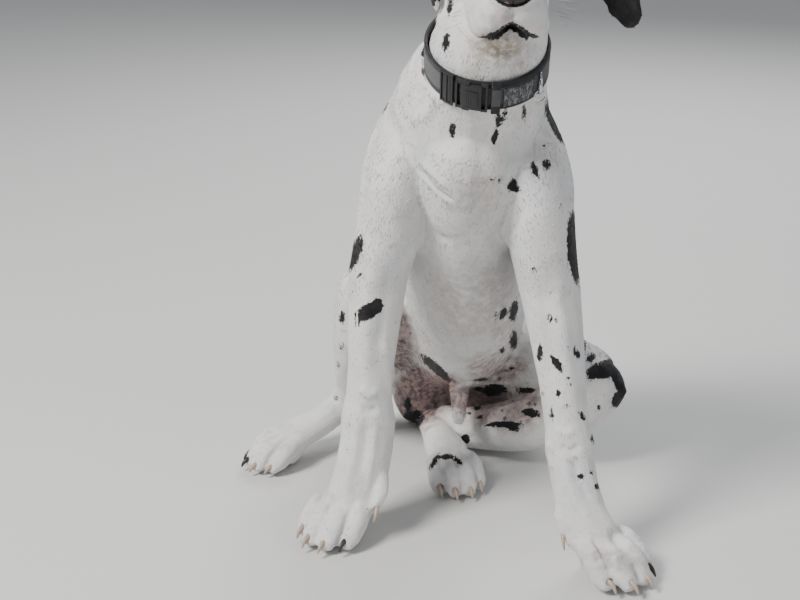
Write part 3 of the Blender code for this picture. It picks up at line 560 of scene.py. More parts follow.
CHAINS = (
    Chain(("head", "jaw", "neck", "chest", "belly", "tail_root", "tail_tip"), (
        (11.3, -21.0, 74.0), (11.3, -12.0, 75.5), (11.3, -6.0, 77.5), (11.3, 0.5, 76.5),
        (10.5, 0.5, 71.0), (9.8, 0.0, 64.5), (8.8, 4.4, 58.8), (8.3, 11.2, 47.6),
        (8.7, 15.8, 39.6), (9.5, 21.0, 30.3), (9.4, 27.4, 21.2), (8.6, 35.5, 12.8),
        (8.6, 42.0, 8.4), (8.7, 51.2, 3.4), (4.0, 60.8, 1.6), (-6.4, 63.6, 0.9))),
    limb_chain(FORE_LIMB, "left", (
        (13.6, 9.8, 60.0), (16.6, 4.2, 47.8), (18.5, 3.0, 35.8), (20.5, 0.0, 22.4),
        (21.5, -1.9, 14.8), (22.8, -4.6, 8.0), (26.1, -8.0, 3.0), (29.0, -12.0, 1.5))),
    limb_chain(FORE_LIMB, "right", (
        (3.4, 12.4, 60.0), (-0.3, 7.4, 47.8), (-2.6, 7.0, 35.8), (-3.8, 6.5, 22.4),
        (-4.2, 5.8, 15.4), (-5.2, 3.8, 8.2), (-7.9, 2.2, 3.0), (-11.0, -2.4, 1.5))),
    limb_chain(HIND_LIMB, "right", (
        (5.0, 38.5, 12.0), (1.0, 34.0, 18.0), (-5.4, 22.4, 26.6), (-6.6, 26.8, 15.0),
        (-7.8, 31.8, 6.8), (-13.4, 26.8, 4.2), (-17.6, 23.2, 3.0), (-22.0, 20.0, 1.5))),
    limb_chain(HIND_LIMB, "left", (
        (12.0, 38.5, 10.0), (17.0, 34.5, 11.5), (28.4, 23.8, 13.0), (17.6, 24.0, 6.0),
        (5.4, 28.4, 3.9), (6.2, 21.6, 3.9), (7.6, 16.4, 3.0), (8.8, 11.5, 1.5))),
    Chain(("ear_left",), ((15.0, 0.4, 80.6), (20.5, -0.6, 79.0), (24.9, -1.9, 72.4),
                          (25.8, -2.0, 68.5))),
    Chain(("ear_right",), ((7.4, 0.4, 80.6), (3.4, 0.0, 78.2), (3.3, -1.6, 73.2),
                           (4.0, -2.4, 70.5))),
)


class NodeFinder:
    """Finds the flesh node nearest to each point of the skin."""

    def __init__(self) -> None:
        """Join the flesh nodes' triangles and remember the node of each."""
        corners, faces, self.owner = [], [], []
        for number, name in enumerate(FLESH):
            mesh = frame["nodes"][name].data
            first = len(corners)
            corners.extend(vert.co.copy() for vert in mesh.vertices)
            faces.extend([first + corner for corner in face.vertices] for face in mesh.polygons)
            self.owner.extend([number] * len(mesh.polygons))
        self.tree = BVHTree.FromPolygons(corners, faces)

    def find(self, points: np.ndarray) -> np.ndarray:
        """Return the number in FLESH of the node nearest to each point."""
        nearest = self.tree.find_nearest
        return np.array([self.owner[nearest(point)[2]] for point in points.tolist()])


def on_nodes(node: np.ndarray, *starts: str) -> np.ndarray:
    """Return which of the node numbers belong to nodes whose names start with the words."""
    chosen = [number for number, name in enumerate(FLESH) if name.startswith(starts)]
    return np.isin(node, chosen)


def read_attribute(mesh: Mesh, name: str) -> np.ndarray:
    """Return the number or vector stored for each point of the mesh."""
    layer = mesh.attributes[name]
    if layer.data_type == "FLOAT_VECTOR":
        return read_rows(layer.data, "vector", 3).astype(float)
    return read_rows(layer.data, "value", 1).ravel().astype(float)


def lie_of_coat(points: np.ndarray, normals: np.ndarray,
                node: np.ndarray) -> tuple[np.ndarray, np.ndarray]:
    """Find how the hair lies at points on the skin.

    Args:
        points: rows of points on the skin.
        normals: the outward normal at each.
        node: the number of each point's flesh node.

    Returns:
        The hair's direction along the skin, and its place across and along its chain.
    """
    flow, lie = np.zeros((len(points), 3)), np.zeros((len(points), 3))
    for number, chain in enumerate(CHAINS):
        mine = np.isin(node, [FLESH.index(name) for name in chain.nodes])
        flow[mine], lie[mine] = chain.locate(points[mine])
        lie[mine, 2] += number * 3.0
    flow -= normals * (flow * normals).sum(axis=1)[:, None]
    return unit(flow + np.array((0, 0, -1e-4))), lie


NODES = NodeFinder()


# The markings


@dataclass(frozen=True)
class Patch:
    """A black patch where the photo shows it.

    Its middle is a pixel of the photo, its half length and half width are in pixels, and
    lean is how far its long side leans right from upright, in degrees. A faint patch has a
    depth under 1.
    """

    column: float
    row: float
    half_long: float
    half_wide: float
    lean: float = 0.0
    depth: float = 1.0


PATCHES = tuple(Patch(*row) for row in (
    # Neck and chest
    (446, 41, 10, 3.6, 8), (450, 6, 9, 3, 5), (452.5, 129, 8, 3.4),
    (498, 121, 8, 2.6, -6), (495, 136, 8, 3.0, 14), (505, 113, 8, 2.8),
    (524, 112, 6, 2.5), (543.5, 144.5, 3, 1.5, -20, 0.6),
    (534.7, 169, 9, 3.4, -22), (546.8, 164.5, 6, 3.8, -10),
    (512.7, 187.5, 8.5, 4.0, -70), (514, 182, 6, 2.8, -10),
    (492.6, 180.8, 3.4, 1.8, 70, 0.7), (499.3, 181, 3.4, 2.6, 60, 0.8),
    (560.6, 206.7, 5, 2, -15, 0.5), (532.8, 270, 4.5, 2.4, 90, 0.5),
    (385.5, 104, 8, 2.6, 20),
    # Left shoulder and flank
    (557, 122, 24, 8, -24), (575, 246, 36, 8, -3),
    # Right foreleg
    (353.5, 254, 20, 6.5, 24), (359.7, 275.6, 4.5, 1.8, 45),
    (358.7, 291, 4, 1.5, 70, 0.7), (367, 312, 15, 7.5, 62),
    (377, 307, 9, 6.5, 10), (358, 322, 5, 3, 20), (350, 310.5, 3.4, 1.6, 70),
    (369.5, 347, 3, 2, 90, 0.4), (374, 361, 3, 1.5, 90, 0.4),
    (353, 369, 3, 2, 90, 0.4),
    # Right hind leg
    (342, 317, 6.5, 3.4), (342, 347, 3.6, 2, 0, 0.7), (338, 365, 3, 2, 0, 0.6),
    (336, 398, 2.6, 2.2, 0, 0.7), (413, 419, 12, 9, 70), (408, 404, 7, 4, 10),
    # Left foreleg
    (549.5, 318.4, 4.8, 2.5), (556.4, 320.5, 3.6, 2, 0, 0.6), (540, 353, 8, 3.2),
    (557.3, 363.7, 10.5, 4.0, -38), (576.2, 352, 6.5, 3.8, -28), (584.6, 344, 6, 2),
    (569.5, 380.5, 4, 2.4, -20, 0.6), (557.9, 393, 4.2, 3.4, 80),
    (543, 392, 3.2, 2, 0, 0.5), (551.6, 414, 5.8, 2.2), (582.5, 416, 5, 2.6, -35),
    (593.7, 438.4, 5, 3), (567, 405.8, 2.4, 1.6, 0, 0.5), (581, 476.3, 3.8, 2.6, 80),
    (591.6, 473, 2, 1.6), (597.9, 486.8, 3.4, 3),
    # Belly and groin: black hair, and painted shade drawn as black in the fold between belly and thighs
    # and along the belly's lower edge
    (513.8, 311, 11, 4.2, 8), (503.5, 313, 6.8, 3.2, 20), (496, 317, 5, 2.4, 10, 0.7),
    (513.5, 339.6, 9.5, 4.0, 3), (502, 350, 3.2, 3), (511, 368.8, 5, 1.6, 70),
    # Painted shade as black: the fold lines at 481, 379.5 and 526, 390.3 and the patches in the fold
    # beside them
    (481, 379.5, 8, 1.7, 85), (494.4, 390.3, 13, 6.5, 88), (479.5, 389.5, 6, 2.6, 88),
    (526, 390.3, 9, 2.8, 90), (477.8, 407.7, 4, 2.5, 80), (468.7, 412.7, 3, 3),
    (479.5, 417, 4, 2, 80), (531, 412.7, 9.5, 4.6, -72), (504, 424.3, 20, 3.2, 88),
    # Painted shade as black, with black hair: the long band at 436, 368 along the lower edge of the
    # belly
    (512, 427, 8, 3.4, -70), (465.4, 439.3, 5.5, 4.6), (436, 368, 21, 4.5, -48),
    # Left hind foot and knee
    (434, 462, 9, 2.6, 30), (446, 456.5, 9, 2.6, 88), (458, 461, 6, 2.2, -60),
    (605, 369, 20, 9, 72), (621, 374, 27, 10, -16), (619, 398, 11, 6, 25),
    (591, 358, 6, 3.6, 40), (599, 408, 2.6, 2.2),
))

# Black patches of the head: the middle of each on the table, and its radius in centimetres
HEAD_PATCHES = (
    ((6.6, -5.5, 79.3), 3.1), ((6.0, -1.5, 79.5), 3.6), ((7.6, -8.6, 79.6), 1.5),
    ((8.2, 1.6, 80.6), 2.3), ((16.2, -0.5, 80.0), 2.6), ((17.2, -2.6, 77.0), 1.7),
    ((12.6, -4.6, 83.0), 0.9), ((14.6, -12.4, 76.2), 0.6), ((9.2, -14.2, 76.9), 0.5),
    ((12.9, 2.6, 80.8), 1.3), ((16.4, -8.2, 74.4), 0.7), ((5.4, -4.4, 73.4), 1.0),
)


@dataclass(frozen=True)
class Markings:
    """The black patches: those of the photo, and seeded ones where the photo sees nothing."""

    camera: PhotoCamera
    reach: float = 9.0 * MM
    inwards: float = 470.0
    most_turned: float = 0.12
    frame_margin: float = 5.0
    hidden_patches: int = 74
    hidden_sizes: tuple[float, float] = (0.35, 5.2)
    lobes: int = 6
    lobed_from: float = 1.0 * CM

    def seen(self, tree: BVHTree, points: np.ndarray, normals: np.ndarray) -> np.ndarray:
        """Return how deep inside the photo's patches each point lies, in metres.

        Args:
            tree: the skin's surface.
            points: rows of points on the skin.
            normals: the outward normal at each.

        Returns:
            Distances, positive inside a patch and no less than -reach outside.
        """
        depth = np.full(len(points), -self.reach)
        column, row = self.camera.pixels(points)
        eye = np.array(self.camera.eye)
        faces_camera = self.camera.turned_away(points, normals) < self.most_turned
        for patch in PATCHES:
            for shift in (0, 4, 8, 12, 16):
                column_in = patch.column + math.copysign(shift, self.inwards - patch.column)
                hit, normal, _, distance = tree.ray_cast(
                    Vector(eye), Vector(self.camera.ray(column_in, patch.row)))
                if hit is not None:
                    break
            if hit is None:
                continue
            scale = distance / self.camera.focal_px
            slant = max(0.3, abs(normal.dot(Vector(unit(np.array(hit) - eye)))))
            near = apart(points, np.array(hit))
            near = near < 2.2 * patch.half_long * scale / slant + self.reach
            near &= faces_camera
            lean = math.radians(patch.lean)
            right, up = column[near] - patch.column, patch.row - row[near]
            long = right * math.sin(lean) + up * math.cos(lean)
            wide = right * math.cos(lean) - up * math.sin(lean)
            radius = np.hypot(long / patch.half_long, wide / patch.half_wide)
            inside = (1 - radius) * patch.half_wide * scale
            # A faint patch stays below full black also in its middle.
            if patch.depth < 1:
                inside = np.minimum(inside, (patch.depth - 0.62) * 1.6 * MM)
            depth[near] = np.maximum(depth[near], inside)
        return depth

    def hidden(self, points: np.ndarray, normals: np.ndarray, flow: np.ndarray,
               node: np.ndarray) -> np.ndarray:
        """Return how deep inside seeded patches each point lies, on the sides without a photo.

        Args:
            points: rows of points on the skin.
            normals: the outward normal at each.
            flow: the hair's direction at each.
            node: the number of each point's flesh node.

        Returns:
            Distances in metres, positive inside a patch.
        """
        draw = np.random.default_rng(SEED)
        column, row = self.camera.pixels(points)
        width, height = self.camera.frame_px
        margin = self.frame_margin
        in_frame = (column > -margin) & (column < width + margin)
        in_frame &= (row > -margin) & (row < height + margin)
        turned = self.camera.turned_away(points, normals)
        away = (turned > 0.25) | ~in_frame
        away &= on_nodes(node, "head", "neck", "chest", "belly", "thigh", "shank", "shoulder",
                         "foreleg", "tail")
        places = np.flatnonzero(away)
        depth = np.full(len(points), -self.reach)
        taken: list[np.ndarray] = []
        small, large = np.log(self.hidden_sizes)
        for _ in range(self.hidden_patches * 3):
            if len(taken) >= self.hidden_patches:
                break
            chosen = places[draw.integers(len(places))]
            size = math.exp(draw.uniform(small, large)) * CM
            if on_nodes(node[chosen:chosen + 1], "head", "foreleg", "shank", "tail")[0]:
                size = min(size, 1.3 * CM)
            middle = points[chosen]
            if any(np.linalg.norm(middle - other[:3]) < other[3] + size + 2.4 * CM for other in taken):
                continue
            taken.append(np.array((*middle, size)))
            long_way = flow[chosen]
            cross_way = np.cross(normals[chosen], long_way)
            lobed = size > self.lobed_from
            for _ in range(self.lobes if lobed else 1):
                shift = draw.normal(0, 0.55, 2) * size * lobed
                centre = middle + long_way * shift[0] + cross_way * shift[1]
                half_wide = size * draw.uniform(0.45, 0.8)
                half_long = half_wide * draw.uniform(1.1, 1.9)
                offset = points - centre
                near = np.linalg.norm(offset, axis=1) < half_long + self.reach
                near &= (normals @ normals[chosen]) > -0.1
                offset = offset[near]
                radius = np.hypot(offset @ long_way / half_long, offset @ cross_way / half_wide)
                lift = np.abs(offset @ normals[chosen]) / (half_wide * 1.3)
                inside = (1 - np.hypot(radius, lift)) * half_wide
                depth[near] = np.maximum(depth[near], inside)
        fade = smooth_step(turned, -0.05, 0.2)
        fade = np.where(in_frame, fade, 1.0)
        return np.where(depth > -self.reach, depth - (1 - fade) * 2 * self.reach, depth)

    def head_patches(self, points: np.ndarray, node: np.ndarray) -> np.ndarray:
        """Return how deep inside the head's black patches each point lies."""
        depth = np.full(len(points), -self.reach)
        for centre, radius in HEAD_PATCHES:
            distance = apart(points, table_point(centre))
            depth = np.maximum(depth, radius * CM - distance)
        depth[on_nodes(node, "ear")] = self.reach
        return np.where(on_nodes(node, "head", "ear", "neck"), np.minimum(depth, self.reach),
                        -self.reach)

    def depth(self, tree: BVHTree, points: np.ndarray, normals: np.ndarray, flow: np.ndarray,
              node: np.ndarray) -> np.ndarray:
        """Return how deep inside any patch each point lies, in metres, cut off at the reach."""
        found = np.maximum.reduce((
            self.seen(tree, points, normals),
            self.hidden(points, normals, flow, node),
            self.head_patches(points, node),
        ))
        return np.clip(found, -self.reach, self.reach)


@dataclass(frozen=True)
class Blush:
    """Where pink skin shows through the thin coat, with painted shade in the groin, and where the coat
    is stained brown.
    """

    camera: PhotoCamera
    # Middle of each pink area in pixels of the photo, its two half sizes and its strength
    areas: tuple[Area, ...] = (
        (505, 330, 22, 40, 0.45), (478, 196, 36, 34, 0.30), (476, 300, 60, 52, 0.35),
        (420, 350, 16, 40, 0.35), (610, 562, 46, 16, 0.42), (358, 576, 44, 16, 0.42),
        (440, 500, 44, 22, 0.35), (492, 46, 22, 12, 0.6), (500, 20, 24, 22, 0.45),
    )
    # More pink and grey skin, on the belly, thighs and shanks alone: thin-coated skin laid on at full
    # strength between the thighs, where its darkness is also painted shade
    groin_skin_and_shade: tuple[Area, ...] = (
        (418, 396, 32, 38, 1.0), (402, 345, 13, 42, 0.9), (440, 386, 26, 15, 1.0),
        (472, 398, 44, 17, 0.95), (505, 408, 52, 26, 0.85), (497, 368, 34, 18, 0.8),
    )
    # Brown areas round the lips and on the chin, on the jaw, head and neck alone
    chin: tuple[Area, ...] = (
        (497, 48, 38, 20, 0.85), (478, 70, 15, 15, 0.45), (517, 66, 15, 14, 0.40),
    )
    # Middle of each hidden pink area on the table, its radius in cm and its strength
    hidden: tuple[tuple[Triple, float, float], ...] = (
        ((HEAD_X, -15.0, 71.0), 5.0, 0.45), ((HEAD_X, -18.5, 75.0), 2.6, 0.5),
        ((8.7, 36.5, 3.0), 7.0, 0.45), ((HEAD_X - EYE_SPREAD, EYE_Y, EYE_Z), 1.9, 0.5),
        ((HEAD_X + EYE_SPREAD, EYE_Y, EYE_Z), 1.9, 0.5),
    )

    def spots(self, points: np.ndarray, normals: np.ndarray, full: float,
              areas: tuple[Area, ...]) -> np.ndarray:
        """Return how strong the areas seen from the photo's camera are at each point.

        Args:
            points: places on the skin.
            normals: the skin's normals there.
            full: the share of an area's half sizes up to which it is at its full strength.
            areas: the areas.

        Returns:
            A strength for each point, 0 away from every area.
        """
        column, row = self.camera.pixels(points)
        facing = self.camera.turned_away(points, normals) < 0.3
        found = np.zeros(len(points))
        for middle, level, half_wide, half_high, strength in areas:
            radius = np.hypot((column - middle) / half_wide, (row - level) / half_high)
            found = np.maximum(found, strength * smooth_step(radius, 1.2, full) * facing)
        return found

    def amount(self, points: np.ndarray, normals: np.ndarray, node: np.ndarray) -> np.ndarray:
        """Return how pink the coat is at each point, 0 to 1."""
        under = on_nodes(node, "belly", "thigh", "shank")
        # The groin's skin also paints the shade that falls between the thighs.
        pink = np.maximum(self.spots(points, normals, 0.35, self.areas),
                          self.spots(points, normals, 0.6, self.groin_skin_and_shade) * under)
        for centre, radius, strength in self.hidden:
            distance = apart(points, table_point(centre))
            pink = np.maximum(pink, strength * smooth_step(distance / (radius * CM), 1.2, 0.4))
        return np.where(on_nodes(node, "shoulder"), pink * 0.4, pink)

    def stain(self, points: np.ndarray, normals: np.ndarray, node: np.ndarray) -> np.ndarray:
        """Return how brown the coat is at each point, 0 to 1."""
        return self.spots(points, normals, 0.3, self.chin) * on_nodes(node, "jaw", "head", "neck")


# Finishes


class Shades:
    """Makes shader nodes in one material or group, and links them."""

    def __init__(self, tree: bpy.types.NodeTree) -> None:
        """Keep the node tree that the nodes go in."""
        self.tree = tree

    def node(self, kind: str, inputs: dict[str | int, object] | None = None,
             **settings: object) -> bpy.types.Node:
        """Add a node.

        Args:
            kind: the node's type without its ShaderNode prefix.
            inputs: values, or sockets to link from, by input name or number.
            settings: properties of the node.

        Returns:
            The new node.
        """
        made = self.tree.nodes.new(f"ShaderNode{kind}")
        for name, value in settings.items():
            setattr(made, name, value)
        for name, value in (inputs or {}).items():
            self.feed(made.inputs[name], value)
        return made

    def feed(self, socket: NodeSocket, value: object) -> None:
        """Link a socket from another, or set its value."""
        if isinstance(value, NodeSocket):
            self.tree.links.new(value, socket)
        elif isinstance(value, tuple) and len(value) == 3 and socket.type == "RGBA":
            socket.default_value = (*value, 1.0)
        else:
            socket.default_value = value

    def math(self, operation: str, *values: object) -> NodeSocket:
        """Return the result of a calculation on numbers or sockets."""
        made = self.node("Math", dict(enumerate(values)), operation=operation)
        return made.outputs[0]

    def times(self, first: object, second: object) -> NodeSocket:
        """Return the product of two numbers or sockets."""
        return self.math("MULTIPLY", first, second)

    def plus(self, first: object, second: object) -> NodeSocket:
        """Return the sum of two numbers or sockets."""
        return self.math("ADD", first, second)

    def place(self) -> NodeSocket:
        """Return the place on the object, in metres."""
        return self.node("TexCoord").outputs["Object"]

    def edges(self, place: object, scale: float) -> NodeSocket:
        """Return the distance from the edges of small cells, with scale as cells in a metre."""
        made = self.node("TexVoronoi", {"Vector": place, "Scale": scale},
                         feature="DISTANCE_TO_EDGE")
        return made.outputs["Distance"]

    def ramp(self, value: object, low: float, high: float) -> NodeSocket:
        """Return 0 where the value is low, 1 where it is high, and a smooth rise between."""
        made = self.node("MapRange", {"Value": value, "From Min": low, "From Max": high},
                         interpolation_type="SMOOTHSTEP")
        return made.outputs["Result"]

    def mix(self, factor: object, first: object, second: object) -> NodeSocket:
        """Return the first colour mixed with the second."""
        made = self.node("Mix", data_type="RGBA")
        self.feed(made.inputs["Factor"], factor)
        self.feed(made.inputs["A"], first)
        self.feed(made.inputs["B"], second)
        return made.outputs["Result"]

    def noise(self, place: object, scale: float, detail: float = 2.0) -> NodeSocket:
        """Return even noise from 0 to 1 at a place, with scale as its cycles in a metre."""
        made = self.node("TexNoise", {"Vector": place, "Scale": scale, "Detail": detail})
        return made.outputs["Fac"]

    def value(self, name: str) -> NodeSocket:
        """Return a number stored on the mesh."""
        return self.node("Attribute", attribute_name=name).outputs["Fac"]

    def vector(self, name: str) -> NodeSocket:
        """Return a vector stored on the mesh."""
        return self.node("Attribute", attribute_name=name).outputs["Vector"]

    def bump(self, height: object, depth: float, strength: float = 1.0,
             under: object | None = None) -> NodeSocket:
        """Return the surface's normal bent by a height that is depth metres at 1."""
        made = self.node("Bump", {"Height": height, "Distance": depth, "Strength": strength})
        if under is not None:
            self.feed(made.inputs["Normal"], under)
        return made.outputs["Normal"]


class Finish:
    """A material whose look is made by shader nodes."""

    def build(self, name: str) -> Material:
        """Make the material."""
        paint = bpy.data.materials.new(name)
        paint.use_nodes = True
        shades = Shades(paint.node_tree)
        shader = paint.node_tree.nodes["Principled BSDF"]
        for socket, value in self.inputs(shades).items():
            shades.feed(shader.inputs[socket], value)
        return paint

    def inputs(self, shades: Shades) -> dict[str, object]:
        """Return what goes into the main shader, by the names of its inputs."""
        raise NotImplementedError


@dataclass(frozen=True)
class FloorFinish(Finish):
    """Pale matt paint that is a little uneven."""

    colour: Triple = (0.64, 0.64, 0.625)
    darkest: float = 0.94

    def inputs(self, shades: Shades) -> dict[str, object]:
        """Return the shader's inputs."""
        grain = shades.node("TexNoise", {"Scale": 3.0}).outputs["Fac"]
        darker = tuple(part * self.darkest for part in self.colour)
        return {"Base Color": shades.mix(grain, self.colour, darker), "Roughness": 0.75}


@dataclass(frozen=True)
class TwoToneFinish(Finish):
    """Two colours that change into each other by even noise, for threads and whiskers."""

    first: Triple
    second: Triple
    cycles: float
    roughness: float
    ends: tuple[float, float] | None = None

    def inputs(self, shades: Shades) -> dict[str, object]:
        """Return the shader's inputs."""
        tone = shades.noise(shades.place(), self.cycles)
        if self.ends is not None:
            tone = shades.ramp(tone, *self.ends)
        return {"Base Color": shades.mix(tone, self.first, self.second), "Roughness": self.roughness}


@dataclass(frozen=True)
class CoatFinish(Finish):
    """White and black short hair over pink and grey skin, the same on the skin and the hair."""

    white: Triple = (0.74, 0.73, 0.715)
    warm_white: Triple = (0.60, 0.565, 0.535)
    cool_white: Triple = (0.58, 0.60, 0.64)
    black: Triple = (0.009, 0.009, 0.011)
    worn_black: Triple = (0.028, 0.026, 0.026)
    pink: Triple = (0.40, 0.275, 0.26)
    grey_skin: Triple = (0.16, 0.125, 0.125)
    stained: Triple = (0.30, 0.245, 0.175)
    dark: Triple = (0.022, 0.018, 0.018)
    shade_range: float = 0.06
    sheen: float = 0.05
    roughness: float = 0.62
    hair: bool = False
    group_name: str = "coat_colours"
    painted: tuple[str, ...] = ("Black", "Dark", "Pink", "Stain", "Ticks", "Shade")

    def group(self) -> bpy.types.NodeTree:
        """Return the node group of the coat's colours, which is made when first asked for."""
        made = bpy.data.node_groups.get(self.group_name)
        if made is not None:
            return made
        made = bpy.data.node_groups.new(self.group_name, "ShaderNodeTree")
        made.interface.new_socket("Root", in_out="INPUT", socket_type="NodeSocketVector")
        for name in self.painted:
            made.interface.new_socket(name, in_out="INPUT", socket_type="NodeSocketFloat")
        made.interface.new_socket("Colour", in_out="OUTPUT", socket_type="NodeSocketColor")
        given = made.nodes.new("NodeGroupInput").outputs
        shades = Shades(made)
        white = self.ticked(shades, given, self.whites(shades, given))
        black = self.blackness(shades, given)
        colour = shades.mix(black, white, self.speckle(
            shades, given["Root"], 60.0, (0.4, 0.75), self.black, self.worn_black))
        colour = shades.mix(shades.ramp(given["Dark"], 0.3, 0.62), colour, self.dark)
        tone = shades.plus(shades.times(given["Shade"], self.shade_range), 1.0)
        scaled = shades.node("VectorMath", {"Vector": colour, "Scale": tone}, operation="SCALE")
        result = made.nodes.new("NodeGroupOutput")
        shades.feed(result.inputs["Colour"], scaled.outputs["Vector"])
        return made

    def speckle(self, shades: Shades, root: object, scale: float, ends: tuple[float, float],
                first: object, second: object) -> NodeSocket:
        """Return one colour speckled with a second, where even noise lies past its ends."""
        return shades.mix(shades.ramp(shades.noise(root, scale), *ends), first, second)

    def blackness(self, shades: Shades, given: bpy.types.NodeOutputs) -> NodeSocket:
        """Return how black the coat is, with a ragged edge round each marking."""
        edge = given["Black"]
        for scale, detail, reach in ((210.0, 3.0, 7.0), (900.0, 1.0, 3.0)):
            wave = shades.math("SUBTRACT", shades.noise(given["Root"], scale, detail), 0.5)
            edge = shades.plus(edge, shades.times(wave, reach))
        return shades.ramp(edge, -0.55, 0.55)

    def whites(self, shades: Shades, given: bpy.types.NodeOutputs) -> NodeSocket:
        """Mix the white coat's colours.

        Args:
            shades: the maker of the group's nodes.
            given: the group's inputs.

        Returns:
            The white coat with its warm and cool parts, its pink skin and its stain.
        """
        root = given["Root"]
        large = shades.ramp(shades.noise(root, 26.0), 0.35, 0.7)
        cool = shades.ramp(shades.noise(root, 17.0, 3.0), 0.48, 0.66)
        white = shades.mix(shades.times(large, 0.5), self.white, self.warm_white)
        white = shades.mix(shades.times(cool, 0.4), white, self.cool_white)
        patchy = shades.ramp(shades.noise(root, 85.0, 3.0), 0.25, 0.62)
        patchy = shades.math("MAXIMUM", patchy, shades.ramp(given["Pink"], 0.6, 1.0))
        skin = self.speckle(shades, root, 120.0, (0.40, 0.62), self.pink, self.grey_skin)
        white = shades.mix(shades.times(given["Pink"], patchy), white, skin)
        uneven = shades.ramp(shades.noise(root, 140.0, 3.0), 0.30, 0.60)
        return shades.mix(shades.times(given["Stain"], uneven), white, self.stained)

    def ticked(self, shades: Shades, given: bpy.types.NodeOutputs,
               white: NodeSocket) -> NodeSocket:
        """Return the white coat with small dark ticks where it has them."""
        cells = shades.node("TexVoronoi", {"Vector": given["Root"], "Scale": 75.0})
        often = shades.ramp(shades.noise(given["Root"], 34.0), 0.50, 0.72)
        size = shades.times(shades.times(given["Ticks"], often), 0.13)
        tick = shades.math("LESS_THAN", cells.outputs["Distance"], size)
        return shades.mix(shades.times(tick, 0.7), white, self.worn_black)

    def inputs(self, shades: Shades) -> dict[str, object]:
        """Return the shader's inputs, with fine relief along the hair where there are no tufts."""
        given = {name: shades.value(name.lower()) for name in self.painted}
        colours = shades.node("Group", node_tree=self.group())
        for name, value in {"Root": shades.vector("root"), **given}.items():
            shades.feed(colours.inputs[name], value)
        found = {"Base Color": colours.outputs["Colour"], "Roughness": self.roughness,
                 "Sheen Weight": self.sheen, "Sheen Roughness": 0.4, "Specular IOR Level": 0.22}
        if not self.hair:
            strands = shades.node("Mapping", {"Vector": shades.vector("lie"),
                                              "Scale": (1.0, 1.0, 0.09)}).outputs["Vector"]
            fine, clumps = (shades.noise(strands, cycles) for cycles in (1500.0, 420.0))
            found["Normal"] = shades.bump(clumps, 0.9 * MM, 0.55, shades.bump(fine, 0.55 * MM, 0.8))
        return found


# The forms of the skin


@dataclass(frozen=True)
class Stroke:
    """A ridge, or a groove of negative height, along a path on the skin.

    Points of two numbers are pixels of the photo, and points of three are centimetres of the
    table, from which the nearest place on the skin is taken. Width and height are in
    millimetres.
    """

    path: tuple[tuple[float, ...], ...]
    width: float
    height: float

    def mirrored(self) -> "Stroke":
        """Return the same stroke on the other side of the head's middle plane."""
        return Stroke(tuple((2 * HEAD_X - x, y, z) for x, y, z in self.path), self.width, self.height)


@dataclass(frozen=True)
class Foot:
    """Where a foot stands on the table, which way it points, and its size to a fore foot."""

    x: float
    y: float
    heading: float
    scale: float
    toe_sides: tuple[float, ...] = (-3.35, -1.25, 1.25, 3.35)
    toe_tips: tuple[float, ...] = (3.6, 5.3, 5.3, 3.6)

    def spot(self, along: float, side: float, height: float) -> Triple:
        """Return the table point that lies so far ahead of, beside and above the foot's middle."""
        turn = math.radians(self.heading)
        ahead, beside = (math.sin(turn), -math.cos(turn)), (math.cos(turn), math.sin(turn))
        x = self.x + (ahead[0] * along + beside[0] * side) * self.scale
        y = self.y + (ahead[1] * along + beside[1] * side) * self.scale
        return (x, y, height * self.scale)

    def strokes(self) -> list[Stroke]:
        """Return the grooves between the toes and the knuckles on them."""
        made = []
        sides, tips = self.toe_sides, self.toe_tips
        # The groove between each toe and the next
        for left, right, tip, other in zip(sides, sides[1:], tips, tips[1:]):
            middle, end = (left + right) / 2, min(tip, other)
            made.append(Stroke((self.spot(-1.2, middle * 0.8, 5.4), self.spot(1.6, middle, 3.6),
                                self.spot(end - 0.4, middle, 2.4), self.spot(end + 0.9, middle, 1.0)),
                               3.2, -4.6))
        for side, tip in zip(sides, tips):
            made.append(Stroke((self.spot(tip - 3.4, side * 0.96, 5.4),
                                self.spot(tip - 2.5, side, 4.6)), 6.5, 1.9))
            # The joint above the claw, and the crease behind it
            for back, half, level, width, height in ((1.0, 0.3, 3.4, 4.5, 1.0),
                                                     (1.75, 0.7, 4.2, 2.4, -0.9)):
                ends = (self.spot(tip - back, side + across, level) for across in (-half, half))
                made.append(Stroke(tuple(ends), width, height))
        return made


FEET = (Foot(26.1, -7.7, 36, 1.0), Foot(-7.9, 2.2, -33, 1.0),
        Foot(-17.6, 23.2, -54, 0.86), Foot(7.6, 16.4, 14, 0.86))

